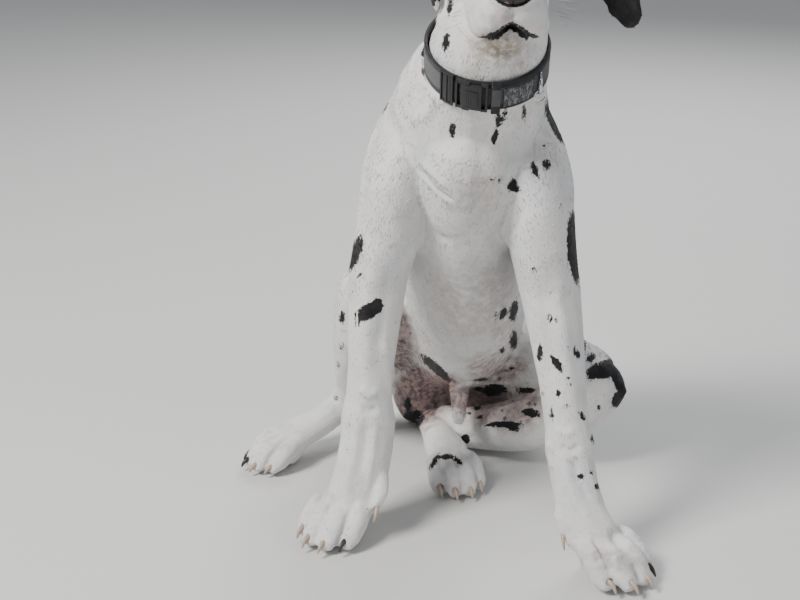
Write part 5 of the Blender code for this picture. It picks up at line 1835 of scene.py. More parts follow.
@dataclass(frozen=True)
class Scatter:
    """A Geometry Nodes group that sets one small tapered rod on each point of a mesh."""

    name: str
    sides: int = 6
    taper: float = 0.15

    def group(self) -> bpy.types.GeometryNodeTree:
        """Return the node group, with inputs for the rods' radius, material and seed."""
        tree = bpy.data.node_groups.new(self.name, "GeometryNodeTree")
        for name, way, kind, value in (
                ("Geometry", "INPUT", "Geometry", None), ("Radius", "INPUT", "Float", 0.3 * MM),
                ("Material", "INPUT", "Material", None), ("Seed", "INPUT", "Int", SEED),
                ("Geometry", "OUTPUT", "Geometry", None)):
            socket = tree.interface.new_socket(name, in_out=way, socket_type=f"NodeSocket{kind}")
            if value is not None:
                socket.default_value = value
        start, end, aim, length, rod, turn, wobble, thick, size, place, points, real, paint = (
            tree.nodes.new(kind) for kind in (
                "NodeGroupInput", "NodeGroupOutput", "GeometryNodeInputNamedAttribute",
                "ShaderNodeVectorMath", "GeometryNodeMeshCone", "FunctionNodeAlignRotationToVector",
                "FunctionNodeRandomValue", "ShaderNodeMath", "ShaderNodeCombineXYZ",
                "GeometryNodeInstanceOnPoints", "GeometryNodeMeshToPoints",
                "GeometryNodeRealizeInstances", "GeometryNodeSetMaterial"))
        aim.data_type = "FLOAT_VECTOR"
        length.operation = "LENGTH"
        turn.axis = "Z"
        wobble.data_type = "FLOAT"
        thick.operation = "MULTIPLY"
        for node, name, value in (
                (aim, "Name", "aim"), (rod, "Vertices", self.sides), (rod, "Side Segments", 3),
                (rod, "Radius Top", self.taper), (rod, "Radius Bottom", 1.0), (rod, "Depth", 1.0),
                (wobble, 2, 0.85), (wobble, 3, 1.15)):
            node.inputs[name].default_value = value
        for before, output, after, entry in (
                (start, "Geometry", points, "Mesh"), (points, "Points", place, "Points"),
                (rod, "Mesh", place, "Instance"), (aim, "Attribute", turn, "Vector"),
                (turn, "Rotation", place, "Rotation"), (aim, "Attribute", length, 0),
                (start, "Seed", wobble, "Seed"), (start, "Radius", thick, 0), (wobble, 1, thick, 1),
                (thick, 0, size, "X"), (thick, 0, size, "Y"), (length, "Value", size, "Z"),
                (size, 0, place, "Scale"), (place, "Instances", real, "Geometry"),
                (real, "Geometry", paint, "Geometry"), (start, "Material", paint, "Material"),
                (paint, "Geometry", end, "Geometry")):
            tree.links.new(before.outputs[output], after.inputs[entry])
        return tree

    def build(self, points: np.ndarray, aims: np.ndarray, radius: float,
              material: Material, slot: str) -> Object:
        """Set the rods out as one piece of the dog.

        Args:
            points: the middle of each rod.
            aims: each rod's direction, as long as the rod.
            radius: the rods' radius in metres.
            material: their material.
            slot: the name of the piece's material slot; not used.

        Returns:
            The piece's object.
        """
        seeds = bpy.data.meshes.new(f"{self.name}_points")
        seeds.vertices.add(len(points))
        set_points(seeds, points)
        write_attribute(seeds, "aim", aims)
        source = add_object(f"{self.name}_source", seeds)
        modifier = source.modifiers.new("set_out", "NODES")
        modifier.node_group = self.group()
        given = {"Radius": radius, "Material": material, "Seed": SEED}
        for socket in modifier.node_group.interface.items_tree:
            if socket.name in given:
                modifier[socket.identifier] = given[socket.name]
        return finish_piece(self.name, bake_modifiers(source), material, slot)


# The collar


@dataclass(frozen=True)
class MetalFinish(Finish):
    """Bright steel with fine marks of wear."""

    colour: Triple = (0.62, 0.63, 0.65)
    worn: Triple = (0.42, 0.42, 0.43)

    def inputs(self, shades: Shades) -> dict[str, object]:
        """Return the shader's inputs."""
        place = shades.place()
        wear = shades.ramp(shades.noise(place, 400.0, 4.0), 0.48, 0.72)
        return {
            "Base Color": shades.mix(wear, self.colour, self.worn), "Metallic": 1.0,
            "Roughness": shades.plus(shades.times(wear, 0.16), 0.14),
            "Normal": shades.bump(shades.noise(place, 1800.0), 0.03 * MM)}


@dataclass(frozen=True)
class PlasticFinish(Finish):
    """Moulded black plastic with a fine matt grain."""

    colour: Triple = (0.012, 0.012, 0.013)

    def inputs(self, shades: Shades) -> dict[str, object]:
        """Return the shader's inputs."""
        place = shades.place()
        rubbed = shades.ramp(shades.noise(place, 160.0, 3.0), 0.5, 0.8)
        return {
            "Base Color": shades.mix(rubbed, self.colour, (0.026, 0.026, 0.028)),
            "Roughness": shades.plus(shades.times(rubbed, 0.12), 0.34),
            "Specular IOR Level": 0.45,
            "Normal": shades.bump(shades.noise(place, 2600.0, 1.0), 0.04 * MM, 0.6)}


@dataclass(frozen=True)
class WebbingFinish(Finish):
    """Woven nylon: a grey middle between two black edges, seen as slanting ribs."""

    edge: Triple = (0.012, 0.012, 0.014)
    middle: Triple = (0.075, 0.078, 0.085)
    middle_half: float = 1.12 * CM
    rib: float = 0.75 * MM

    def inputs(self, shades: Shades) -> dict[str, object]:
        """Return the shader's inputs, which read the weave vector: run, height and thickness."""
        weave = shades.node("SeparateXYZ", {"Vector": shades.vector("weave")})
        run, up = weave.outputs["X"], weave.outputs["Y"]
        wave = 2 * math.pi / self.rib
        slope = shades.times(shades.plus(run, shades.times(up, 0.55)), wave)
        rows = shades.times(up, wave * 0.62)
        warp = shades.math("SINE", slope)
        weft = shades.math("SINE", rows)
        broad = shades.math("SINE", shades.times(up, wave * 0.31))
        height = shades.plus(shades.times(warp, weft), shades.times(broad, 0.35))
        fuzz = shades.noise(shades.vector("weave"), 2400.0, 2.0)
        level = shades.math("ABSOLUTE", up)
        grey = shades.ramp(level, self.middle_half + 0.3 * MM, self.middle_half - 0.3 * MM)
        colour = shades.mix(grey, self.edge, self.middle)
        # Painted highlight: the colour is lighter on the tops of the weave's ribs, where the relief is
        # highest.
        rib_top_highlight = shades.times(shades.ramp(height, 0.0, 1.2), 0.55)
        lit_rib_colour = shades.mix(grey, (0.035, 0.035, 0.039), (0.16, 0.165, 0.175))
        colour = shades.mix(rib_top_highlight, colour, lit_rib_colour)
        dust = shades.ramp(shades.noise(shades.vector("weave"), 90.0, 3.0), 0.5, 0.85)
        colour = shades.mix(shades.times(dust, 0.18), colour, (0.22, 0.21, 0.20))
        normal = shades.bump(fuzz, 0.06 * MM, 0.5, shades.bump(height, 0.16 * MM, 0.9))
        return {"Base Color": colour, "Roughness": 0.82, "Sheen Weight": 0.15,
                "Specular IOR Level": 0.25, "Normal": normal}


@dataclass(frozen=True)
class PatchFinish(Finish):
    """A bare grey patch that throws light back, in a fine honeycomb."""

    colour: Triple = (0.34, 0.345, 0.36)

    def inputs(self, shades: Shades) -> dict[str, object]:
        """Return the shader's inputs."""
        weave = shades.vector("weave")
        line = shades.ramp(shades.edges(weave, 700.0), 0.02, 0.16)
        slant = shades.node("Mapping", {"Vector": weave, "Rotation": (0.0, 0.0, 0.5),
                                        "Scale": (1.0, 0.28, 1.0)})
        fleck = shades.ramp(shades.noise(slant.outputs["Vector"], 620.0, 2.0), 0.50, 0.60)
        soil = shades.ramp(shades.noise(weave, 110.0, 3.0), 0.45, 0.8)
        colour = shades.mix(fleck, (0.05, 0.05, 0.055), self.colour)
        colour = shades.mix(line, (0.04, 0.04, 0.045), colour)
        colour = shades.mix(shades.times(soil, 0.4), colour, (0.12, 0.12, 0.12))
        return {"Base Color": colour, "Metallic": 0.35, "Roughness": 0.42,
                "Normal": shades.bump(line, 0.05 * MM, 0.6)}


@dataclass(frozen=True)
class CollarShape:
    """The tilted oval round the neck on which every piece of the collar is laid."""

    half_wide: float = 6.85
    half_deep: float = 7.75
    centre: Triple = (10.0, -0.95, 64.5)
    tilt: float = 25.0
    band: float = 3.8
    thick: float = 0.4

    @property
    def reach(self) -> float:
        """Return the mean radius in centimetres, by which angles are turned into lengths."""
        return (self.half_wide + self.half_deep) / 2

    def point(self, angle: np.ndarray, out: np.ndarray, up: np.ndarray) -> np.ndarray:
        """Return places on the collar.

        Args:
            angle: degrees from the front towards the dog's left.
            out: centimetres from the strap's inner face.
            up: centimetres above the collar's middle plane.

        Returns:
            The places in metres.
        """
        angle, out, up = np.broadcast_arrays(angle, out, up)
        turn = np.radians(angle)
        rise, run = math.sin(math.radians(self.tilt)), math.cos(math.radians(self.tilt))
        across = (self.half_wide + out) * np.sin(turn)
        ahead = (self.half_deep + out) * np.cos(turn)
        x, y, z = self.centre
        return table_point(np.stack((x + across, y - ahead * run - up * rise,
                                     z - ahead * rise + up * run), axis=-1))

    def covers(self, points: np.ndarray) -> np.ndarray:
        """Return which points of the neck lie under the strap."""
        offset = points - table_point(self.centre)
        tilt = math.radians(self.tilt)
        up = offset @ (0.0, -math.sin(tilt), math.cos(tilt))
        near = np.linalg.norm(offset, axis=1) < 11.0 * CM
        return near & (np.abs(up) < (self.band / 2 + 0.1) * CM)


COLLAR = CollarShape()


@dataclass(frozen=True)
class Block:
    """A plate with rounded edges, bent round the collar.

    Start and end are angles in degrees, and the rest are centimetres.
    """

    start: float
    end: float
    inner: float
    outer: float
    low: float
    high: float
    bevel: float = 0.06

    def point(self, builder: BMesh, angle: float, out: float,
              up: float) -> BMVert:
        """Add a point of the collar with its place on the weave, and return it."""
        made = builder.verts.new(COLLAR.point(angle, out, up))
        weave = builder.verts.layers.float_vector["weave"]
        made[weave] = Vector((math.radians(angle) * COLLAR.reach, up, out)) * CM
        return made

    def add_to(self, builder: BMesh) -> None:
        """Add the plate to a mesh in the making.

        Args:
            builder: the mesh, with a layer for the weave.
        """
        if self.end - self.start >= 360:
            self.add_ring(builder)
            return
        half = math.radians(self.end - self.start) * COLLAR.reach / 2
        part = bmesh.new()
        bmesh.ops.create_cube(part, size=2.0)
        mid_out, mid_up = (self.inner + self.outer) / 2, (self.low + self.high) / 2
        for vert in part.verts:
            vert.co = (vert.co.x * half, mid_out + vert.co.y * (self.outer - self.inner) / 2,
                       mid_up + vert.co.z * (self.high - self.low) / 2)
        bmesh.ops.bevel(part, geom=part.edges[:] + part.verts[:], offset=self.bevel, segments=2,
                        affect="EDGES", profile=0.6)
        step = 0.35
        for cut in np.arange(-half + step, half - step / 2, step):
            geometry = part.verts[:] + part.edges[:] + part.faces[:]
            bmesh.ops.bisect_plane(part, geom=geometry, plane_co=(cut, 0, 0), plane_no=(1, 0, 0))
        middle = (self.start + self.end) / 2
        mapped = {}
        for vert in part.verts:
            run, out, up = vert.co
            mapped[vert] = self.point(builder, middle + math.degrees(run / COLLAR.reach), out, up)
        for face in part.faces:
            builder.faces.new([mapped[vert] for vert in face.verts])
        part.free()

    def add_ring(self, builder: BMesh) -> None:
        """Add the plate as a whole ring.

        Args:
            builder: the mesh, with a layer for the weave.
        """
        soft = (self.outer - self.inner) / 2
        section = [(self.inner + soft + soft * math.cos(turn), self.high - soft + soft * math.sin(turn))
                   for turn in np.linspace(0, math.pi, 7)]
        section += [(self.inner, up) for up in np.linspace(self.high - soft, self.low + soft, 12)[1:-1]]
        section += [(self.inner + soft - soft * math.cos(turn), self.low + soft - soft * math.sin(turn))
                    for turn in np.linspace(0, math.pi, 7)]
        section += [(self.outer, up) for up in np.linspace(self.low + soft, self.high - soft, 12)[1:-1]]
        count = 240
        rings = [[self.point(builder, 360 * index / count - 180, out, up) for out, up in section]
                 for index in range(count)]
        join_rings(builder, rings + rings[:1])


@dataclass(frozen=True)
class CollarPiece:
    """One piece of the collar, made of blocks, that stands for a node of the solids."""

    name: str
    blocks: tuple[Block, ...]
    finish: Finish
    slot: str

    def build(self) -> Object:
        """Make the piece and return its object."""
        builder = bmesh.new()
        builder.verts.layers.float_vector.new("weave")
        for block in self.blocks:
            block.add_to(builder)
        bmesh.ops.recalc_face_normals(builder, faces=builder.faces)
        mesh = closed(builder, bpy.data.meshes.new(self.name))
        shade_smooth(mesh)
        mesh.set_sharp_from_angle(angle=math.radians(50))
        return finish_piece(f"{self.name}_detail", mesh, self.finish.build(self.name), self.slot,
                            self.name)


FACE = COLLAR.thick + 0.03
HALF_BAND = COLLAR.band / 2
COLLAR_PIECES = (
    CollarPiece("collar_strap", (Block(0, 360, 0, COLLAR.thick, -HALF_BAND, HALF_BAND),),
                WebbingFinish(), "black_webbing"),
    # Side-release buckle: shell, mouth, two side buttons, strap bars and a raised rib
    CollarPiece("collar_buckle", (
        Block(-25, -7, FACE, FACE + 0.62, -1.62, 1.62, 0.14),
        Block(-22, -10, FACE + 0.5, FACE + 0.75, -0.95, 0.95, 0.1),
        Block(-24.2, -17.5, FACE + 0.12, FACE + 0.52, -1.9, -1.1, 0.12),
        Block(-24.2, -17.5, FACE + 0.12, FACE + 0.52, 1.1, 1.9, 0.12),
        Block(-30, -28, FACE, FACE + 0.5, -1.85, 1.85, 0.12),
        Block(-29.5, -24, FACE, FACE + 0.42, 1.45, 1.85, 0.1),
        Block(-29.5, -24, FACE, FACE + 0.42, -1.85, -1.45, 0.1),
        Block(-4.2, -2, FACE, FACE + 0.5, -1.85, 1.85, 0.12),
        Block(-8, -2.5, FACE, FACE + 0.42, 1.45, 1.85, 0.1),
        Block(-8, -2.5, FACE, FACE + 0.42, -1.85, -1.45, 0.1),
        *(Block(angle, angle + 0.9, FACE + 0.7, FACE + 0.77, -0.7, 0.7, 0.02)
          for angle in (-20.0, -18.2, -16.4)),
    ), PlasticFinish(), "black_plastic"),
    # Slide: two end bars, two rails and the strap's fold over the middle bar
    CollarPiece("collar_slide", (
        Block(-47, -45, FACE, FACE + 0.34, -2.1, 2.1, 0.1),
        Block(-35, -33, FACE, FACE + 0.34, -2.1, 2.1, 0.1),
        Block(-46.6, -33.4, FACE, FACE + 0.3, 1.75, 2.1, 0.09),
        Block(-46.6, -33.4, FACE, FACE + 0.3, -2.1, -1.75, 0.09),
        Block(-41, -39, FACE + 0.05, FACE + 0.35, -1.8, 1.8, 0.08),
        Block(-44.6, -35.4, FACE + 0.02, FACE + 0.24, -1.7, 1.7, 0.08),
    ), PlasticFinish(), "black_plastic"),
    CollarPiece("collar_keeper", (
        Block(1, 9, FACE + 0.08, FACE + 0.35, -2.15, 2.15, 0.11),
        Block(1.3, 8.7, FACE, FACE + 0.3, -2.2, -1.95, 0.08),
        Block(1.3, 8.7, FACE, FACE + 0.3, 1.95, 2.2, 0.08),
    ), WebbingFinish(), "black_webbing"),
    CollarPiece("collar_patch", (Block(12, 43, FACE, FACE + 0.12, -1.4, 1.0, 0.05),),
                PatchFinish(), "grey_patch"),
)


@dataclass(frozen=True)
class WireRing:
    """A ring of round wire, with a weld across it."""

    name: str
    radius: float
    sides: int = 14

    def build(self, path: np.ndarray) -> Object:
        """Sweep the wire along a closed path.

        Args:
            path: rows of points along the path, in metres.

        Returns:
            The ring's object.
        """
        path = self.rounded(path)
        middle = path.mean(axis=0)
        quarter = len(path) // 4
        normal = unit(np.cross(path[0] - middle, path[quarter] - middle))
        along = unit(np.roll(path, -1, axis=0) - np.roll(path, 1, axis=0))
        beside = np.cross(along, normal)
        turns = np.linspace(0, 2 * math.pi, self.sides, endpoint=False)
        steps = np.arange(len(path))
        weld = 1 + 0.10 * np.exp(-(np.minimum(steps, len(path) - steps) / 1.6) ** 2)
        points = path[:, None, :] + self.radius * weld[:, None, None] * (
            np.cos(turns)[None, :, None] * beside[:, None, :] + np.sin(turns)[None, :, None] * normal)
        rows, nexts = steps[:, None] * self.sides, np.roll(steps, -1)[:, None] * self.sides
        column, other = np.arange(self.sides)[None], (np.arange(self.sides)[None] + 1) % self.sides
        faces = np.stack((rows + column, rows + other, nexts + other, nexts + column), axis=-1)
        mesh = mesh_from_arrays(self.name, points.reshape(-1, 3), faces.reshape(-1, 4))
        builder = opened(mesh)
        bmesh.ops.recalc_face_normals(builder, faces=builder.faces)
        return finish_piece(f"{self.name}_detail", closed(builder, mesh),
                            MetalFinish().build(self.name), "plated_steel", self.name)

    def rounded(self, path: np.ndarray, rounds: int = 3) -> np.ndarray:
        """Return the closed path with its corners cut round."""
        for _ in range(rounds):
            after = np.roll(path, -1, axis=0)
            path = np.stack((path * 0.75 + after * 0.25, path * 0.25 + after * 0.75), axis=1)
            path = path.reshape(-1, 3)
        return path


@dataclass(frozen=True)
class CollarRings:
    """The D-ring that stands out from the strap, and the small ring hanging on it."""

    angle: float = 50.0
    half: float = 1.25
    reach: float = 1.35
    wire: float = 0.17
    hang_at: float = -50.0
    small_half: float = 0.62
    small_wire: float = 0.11

    def build(self) -> list[Object]:
        """Make both rings and return their objects."""
        out = COLLAR.thick + self.wire + 0.06
        tilt = math.radians(COLLAR.tilt)
        ahead = np.array((0, -math.cos(tilt), -math.sin(tilt))) * CM
        ups = np.linspace(-self.half, self.half, 4)
        straight = COLLAR.point(self.angle, out, ups)
        turns = np.radians(np.linspace(75, -75, 9))
        bow = COLLAR.point(self.angle, out, self.half * np.sin(turns))
        bow = bow + ahead * self.reach * np.cos(turns)[:, None]
        lead_ring = WireRing("collar_lead_ring", self.wire * CM).build(np.vstack((straight, bow)))
        hang = math.radians(self.hang_at)
        wire = COLLAR.point(self.angle, out, self.half * math.sin(hang))
        wire = wire + ahead * self.reach * math.cos(hang)
        drop = (self.small_half - self.small_wire - self.wire - 0.05) * CM
        turns = np.linspace(0, 2 * math.pi, 14, endpoint=False)
        circle = np.stack((np.cos(turns), np.zeros(14), np.sin(turns)), axis=1)
        ring = wire + circle * self.small_half * CM
        ring[:, 2] -= drop
        return [lead_ring, WireRing("collar_tag_ring", self.small_wire * CM).build(ring)]


@dataclass(frozen=True)
class Stitching:
    """The thread of the collar: rows along the strap's edges and round the patch."""

    step: float = 2.6 * MM
    length: float = 1.9 * MM
    radius: float = 0.22 * MM
    finish: TwoToneFinish = TwoToneFinish((0.014, 0.014, 0.016), (0.06, 0.06, 0.065), 900.0, 0.7)

    def rows(self) -> tuple[np.ndarray, np.ndarray]:
        """Return the middle and the direction of each stitch."""
        turn = math.degrees(self.step / (COLLAR.reach * CM))
        on_patch = FACE + 0.12
        around, along = np.arange(-180.0, 180.0, turn), np.arange(12.6, 42.4, turn)
        ups = np.arange(-1.2, 0.85, self.step / CM)
        places, aims = [], []
        for angles, out, levels, onward, climb in (
                (around, COLLAR.thick, -1.62, turn, 0.0), (around, COLLAR.thick, 1.62, turn, 0.0),
                (along, on_patch, -1.3, turn, 0.0), (along, on_patch, 0.9, turn, 0.0),
                (12.9, on_patch, ups, 0.0, 0.1), (42.1, on_patch, ups, 0.0, 0.1)):
            here = COLLAR.point(angles, out, levels)
            after = COLLAR.point(angles + onward, out, levels + climb)
            places.append(here)
            aims.append(unit(after - here) * self.length)
        return np.vstack(places), np.vstack(aims)

    def build(self) -> Object:
        """Make the stitches and return their object."""
        places, aims = self.rows()
        return Scatter("collar_stitches", taper=0.8).build(
            places, aims, self.radius, self.finish.build("thread"), "black_webbing")


# Nose, claws and whiskers


@dataclass(frozen=True)
class NoseFinish(Finish):
    """Black pebbled nose leather with one pink fleck at its lower edge."""

    colour: Triple = (0.016, 0.014, 0.015)
    pink: Triple = (0.42, 0.20, 0.18)
    fleck: Triple = (10.7, -20.3, 73.2)
    fleck_radius: float = 0.30 * CM

    def inputs(self, shades: Shades) -> dict[str, object]:
        """Return the shader's inputs."""
        place = shades.place()
        pebble = shades.ramp(shades.edges(place, 1250.0), 0.0, 0.28)
        away = shades.node("VectorMath", {0: place, 1: tuple(table_point(self.fleck))},
                           operation="DISTANCE")
        uneven = shades.math("SUBTRACT", shades.noise(place, 500.0), 0.5)
        reach = shades.plus(away.outputs["Value"], shades.times(uneven, 3.0 * MM))
        fleck = shades.ramp(reach, self.fleck_radius * 1.15, self.fleck_radius * 0.85)
        # Painted shade: the colour is darker in the grooves between the pebbles.
        return {
            "Base Color": shades.mix(shades.times(fleck, 0.85), shades.mix(
                pebble, (0.006, 0.005, 0.006), self.colour), self.pink),
            "Roughness": shades.math("SUBTRACT", 0.46, shades.times(pebble, 0.14)),
            "Coat Weight": 0.25, "Coat Roughness": 0.2,
            "Normal": shades.bump(pebble, 0.22 * MM, 0.8)}


@dataclass(frozen=True)
class Nose:
    """The nose leather with its nostrils and the cleft below."""

    voxel: float = 0.55 * MM

    def build(self) -> Object:
        """Make the nose and return its object."""
        part = opened(frame["nodes"]["nose"].data, weld=True)
        mesh = one_surface(closed(part, bpy.data.meshes.new("nose")), self.voxel)
        around = Neighbours(mesh)
        points = around.fair(points_of(mesh), np.full(len(mesh.vertices), 1.0), 50)
        middle = table_point((HEAD_X, 0, 74.2))
        cleft = np.exp(-((points[:, 0] - middle[0]) / (0.9 * MM)) ** 2)
        below = smooth_step(points[:, 2], middle[2] + 4 * MM, middle[2] - 6 * MM)
        points[:, 1] += cleft * below * 1.6 * MM
        set_points(mesh, points)
        return finish_piece("nose_leather", mesh, NoseFinish().build("nose_leather"),
                            "nose_leather", "nose")


@dataclass(frozen=True)
class HornFinish(Finish):
    """Claw horn: streaked along the claw, pale in most and dark in some."""

    pale: Triple = (0.42, 0.33, 0.26)
    dark: Triple = (0.035, 0.028, 0.026)

    def inputs(self, shades: Shades) -> dict[str, object]:
        """Return the shader's inputs, which read how dark each claw is."""
        place = shades.place()
        streak = shades.node("Mapping", {"Vector": place, "Scale": (1.0, 0.25, 0.5)})
        lines = shades.noise(streak.outputs["Vector"], 900.0, 3.0)
        shade = shades.plus(shades.value("shade"), shades.times(lines, 0.4))
        colour = shades.mix(shades.ramp(shade, 0.35, 1.1), self.pale, self.dark)
        return {"Base Color": colour, "Roughness": 0.36,
                "Normal": shades.bump(lines, 0.12 * MM, 0.5)}


@dataclass(frozen=True)
class Claws:
    """All the claws of the four feet and the two dewclaws, smoothed."""

    dark_claws: tuple[str, ...] = ("claw_forepaw_left_4", "claw_hind_foot_right_1",
                                   "claw_hind_foot_right_2", "claw_forepaw_right_4")

    def build(self) -> Object:
        """Make the claws in one piece and return its object."""
        names = [name for name in frame["nodes"] if name.startswith(("claw_", "dewclaw_"))]
        builder = bmesh.new()
        layer = builder.verts.layers.float.new("shade")
        for name in names:
            first = len(builder.verts)
            builder.from_mesh(frame["nodes"][name].data)
            builder.verts.ensure_lookup_table()
            for vert in builder.verts[first:]:
                vert[layer] = 1.0 if name in self.dark_claws else 0.1
        bmesh.ops.remove_doubles(builder, verts=builder.verts, dist=WELD)
        rough = add_object("rough", closed(builder, bpy.data.meshes.new("claws")))
        finer = rough.modifiers.new("finer", "SUBSURF")
        finer.levels = finer.render_levels = 2
        mesh = bake_modifiers(rough)
        shade_smooth(mesh)
        return finish_piece("claws", mesh, HornFinish().build("horn"), "horn", *names)


@dataclass(frozen=True)
class Whiskers:
    """Whiskers on the muzzle, the brows and the cheeks, and lashes on the upper lids."""

    finish: TwoToneFinish = TwoToneFinish((0.03, 0.026, 0.025), (0.6, 0.57, 0.53), 60.0, 0.4,
                                          (0.4, 0.6))

    def spots(self) -> list[tuple[Triple, Triple, float]]:
        """Return each whisker's place beside the head's middle, direction and length in cm."""
        draw = np.random.default_rng(SEED + 5)
        made = []
        for row in range(4):
            for column in range(5):
                place = (2.4 + 0.25 * column, -17.8 + 1.1 * column, 72.9 - 0.45 * row)
                aim = (0.9, 0.25 + 0.1 * column, -0.25 - 0.12 * row)
                made.append((place, aim, draw.uniform(2.0, 3.4)))
        for column in range(4):
            made.append(((2.7 + 0.3 * column, -9.6 + 0.2 * column, 79.6), (0.5, -0.5, 0.75), 2.2))
        for column in range(3):
            made.append(((4.6, -6.4 + 0.5 * column, 73.8), (0.9, 0.1, -0.3), 2.4))
            made.append(((1.0 + 0.5 * column, -16.0, 68.8), (0.3, -0.5, -0.8), 1.8))
        return made

    def build(self, tree: BVHTree) -> Object:
        """Make the whiskers on the skin.

        Args:
            tree: the skin's surface.

        Returns:
            The whiskers' object.
        """
        draw = np.random.default_rng(SEED + 6)
        places, aims = [], []
        for spot, aim, length in self.spots():
            for side in (-1, 1):
                target = table_point((HEAD_X + side * spot[0], spot[1], spot[2]))
                hit, normal, _, _ = tree.find_nearest(Vector(target))
                direction = unit(np.array((side * aim[0], aim[1], aim[2])) + draw.normal(0, 0.12, 3)
                                 + 0.3 * np.array(normal))
                places.append(np.array(hit) + direction * length * CM * 0.5)
                aims.append(direction * length * CM)
        for eye in EYES:
            gaze, outwards, up = eye.axes()
            for turn in np.radians(np.linspace(35, 145, 26)):
                across, rise = eye.curve(np.array([turn]))
                root = eye.on_ball(across, rise, eye.radius + 1.4 * MM)[0]
                direction = unit(gaze + 0.5 * up + 0.5 * math.cos(turn) * outwards
                                 + draw.normal(0, 0.08, 3))
                places.append(root + direction * 1.9 * MM)
                aims.append(direction * 4.2 * MM)
        return Scatter("whiskers", sides=4, taper=0.1).build(
            np.array(places), np.array(aims), 0.16 * MM, self.finish.build("whisker"), "coat")


# The eyes


@dataclass(frozen=True)
class EyeFinish(Finish):
    """A wet dark brown eye: white at its edge, a fibrous iris and a black pupil."""

    iris: Triple = (0.030, 0.012, 0.005)
    iris_light: Triple = (0.085, 0.036, 0.013)
    rim: Triple = (0.012, 0.008, 0.007)
    white: Triple = (0.36, 0.29, 0.25)
    vein: Triple = (0.22, 0.09, 0.07)

    def inputs(self, shades: Shades) -> dict[str, object]:
        """Return the shader's inputs, which read the share of the way from the pupil's middle."""
        share = shades.value("from_gaze")
        spokes = shades.value("round_gaze")
        place = shades.node("CombineXYZ", {"X": spokes, "Y": shades.times(share, 0.25)})
        fibres = shades.noise(place.outputs[0], 60.0, 3.0)
        iris = shades.mix(shades.ramp(fibres, 0.35, 0.7), self.iris, self.iris_light)
        iris = shades.mix(shades.ramp(share, 0.56, 0.70), iris, self.rim)
        iris = shades.mix(shades.ramp(share, 0.30, 0.27), iris, (0.002, 0.002, 0.002))
        veins = shades.ramp(shades.noise(shades.vector("root"), 700.0, 4.0), 0.55, 0.66)
        white = shades.mix(shades.times(veins, 0.6), self.white, self.vein)
        white = shades.mix(shades.ramp(share, 0.86, 0.72), white, self.rim)
        colour = shades.mix(shades.ramp(share, 0.735, 0.705), white, iris)
        return {"Base Color": colour, "Roughness": 0.06, "Coat Weight": 1.0,
                "Coat Roughness": 0.02, "Specular IOR Level": 0.6}


@dataclass(frozen=True)
class Eyeball:
    """One eyeball with the bulge of its cornea."""

    eye: EyeFrame
    rings: int = 48
    spokes: int = 72
    cornea: float = 0.72
    bulge: float = 0.055

    def build(self) -> Object:
        """Make the eyeball and return its object."""
        eye = self.eye
        gaze, outwards, up = eye.axes()
        turns = np.linspace(0, math.pi, self.rings + 1)[1:-1]
        around = np.linspace(0, 2 * math.pi, self.spokes, endpoint=False)
        radius = eye.radius * (1 + self.bulge * np.maximum(0, 1 - (turns / (self.cornea * 1.25)) ** 2))
        sideways = np.cos(around)[:, None] * outwards + np.sin(around)[:, None] * up
        body = (np.cos(turns)[:, None, None] * gaze + np.sin(turns)[:, None, None] * sideways[None])
        body = (eye.centre + body * radius[:, None, None]).reshape(-1, 3)
        poles = np.array((eye.centre + gaze * eye.radius * (1 + self.bulge),
                          eye.centre - gaze * eye.radius))
        points = np.vstack((body, poles))
        front, back = len(body), len(body) + 1
        faces = []
        for ring in range(self.rings - 2):
            for spoke in range(self.spokes):
                a = ring * self.spokes + spoke
                b = ring * self.spokes + (spoke + 1) % self.spokes
                faces += [(a, a + self.spokes, b + self.spokes), (a, b + self.spokes, b)]
        last = (self.rings - 2) * self.spokes
        for spoke in range(self.spokes):
            other = (spoke + 1) % self.spokes
            faces += [(front, spoke, other), (back, last + other, last + spoke)]
        faces = np.array(faces)
        if eye.side > 0:
            faces = faces[:, ::-1]
        mesh = mesh_from_arrays(f"eyeball_{eye.label}", points, faces)
        turned = np.concatenate((np.repeat(turns, self.spokes), (0.0, math.pi)))
        write_attribute(mesh, "from_gaze", turned)
        waves = np.tile(np.sin(around * 3), len(turns))
        write_attribute(mesh, "round_gaze", np.concatenate((waves, (0, 0))))
        write_attribute(mesh, "root", points)
        node = f"eye_{eye.label}"
        return finish_piece(mesh.name, mesh, EyeFinish().build(node), "eye", node)


# Hair


@dataclass(frozen=True)
class HairKind:
    """How the tufts of one part of the coat are: their size, lift and how dense they stand.

    Lengths and widths are in millimetres, lift in degrees from the skin, and spacing is the
    mean distance in millimetres between two roots.
    """

    length: float
    width: float
    lift: float
    spacing: float


class Region(Enum):
    """The parts of the coat that differ in their hair."""

    FACE = HairKind(3.4, 0.7, 5.5, 2.1)
    EARS = HairKind(3.4, 0.7, 3.5, 2.0)
    FEET = HairKind(3.6, 0.8, 6.0, 2.2)
    LEGS = HairKind(5.2, 0.85, 4.0, 2.7)
    BODY = HairKind(6.6, 0.95, 3.6, 3.2)
    BREAK = HairKind(8.5, 0.9, 8.0, 2.5)


@dataclass(frozen=True)
class CoatPiece:
    """One object of tufts: its name and the nodes whose skin it covers."""

    name: str
    starts: tuple[str, ...]
    slot: str = "coat"


COAT_PIECES = (
    CoatPiece("coat_head", ("head", "jaw", "ear"), "ear_coat"),
    CoatPiece("coat_neck", ("neck",)),
    CoatPiece("coat_chest", ("chest",)),
    CoatPiece("coat_belly", ("belly", "tail")),
    CoatPiece("coat_shoulders", ("shoulder",)),
    CoatPiece("coat_forelegs", ("foreleg", "forepaw")),
    CoatPiece("coat_thighs", ("thigh",)),
    CoatPiece("coat_hind_legs", ("shank", "hind_foot")),
)


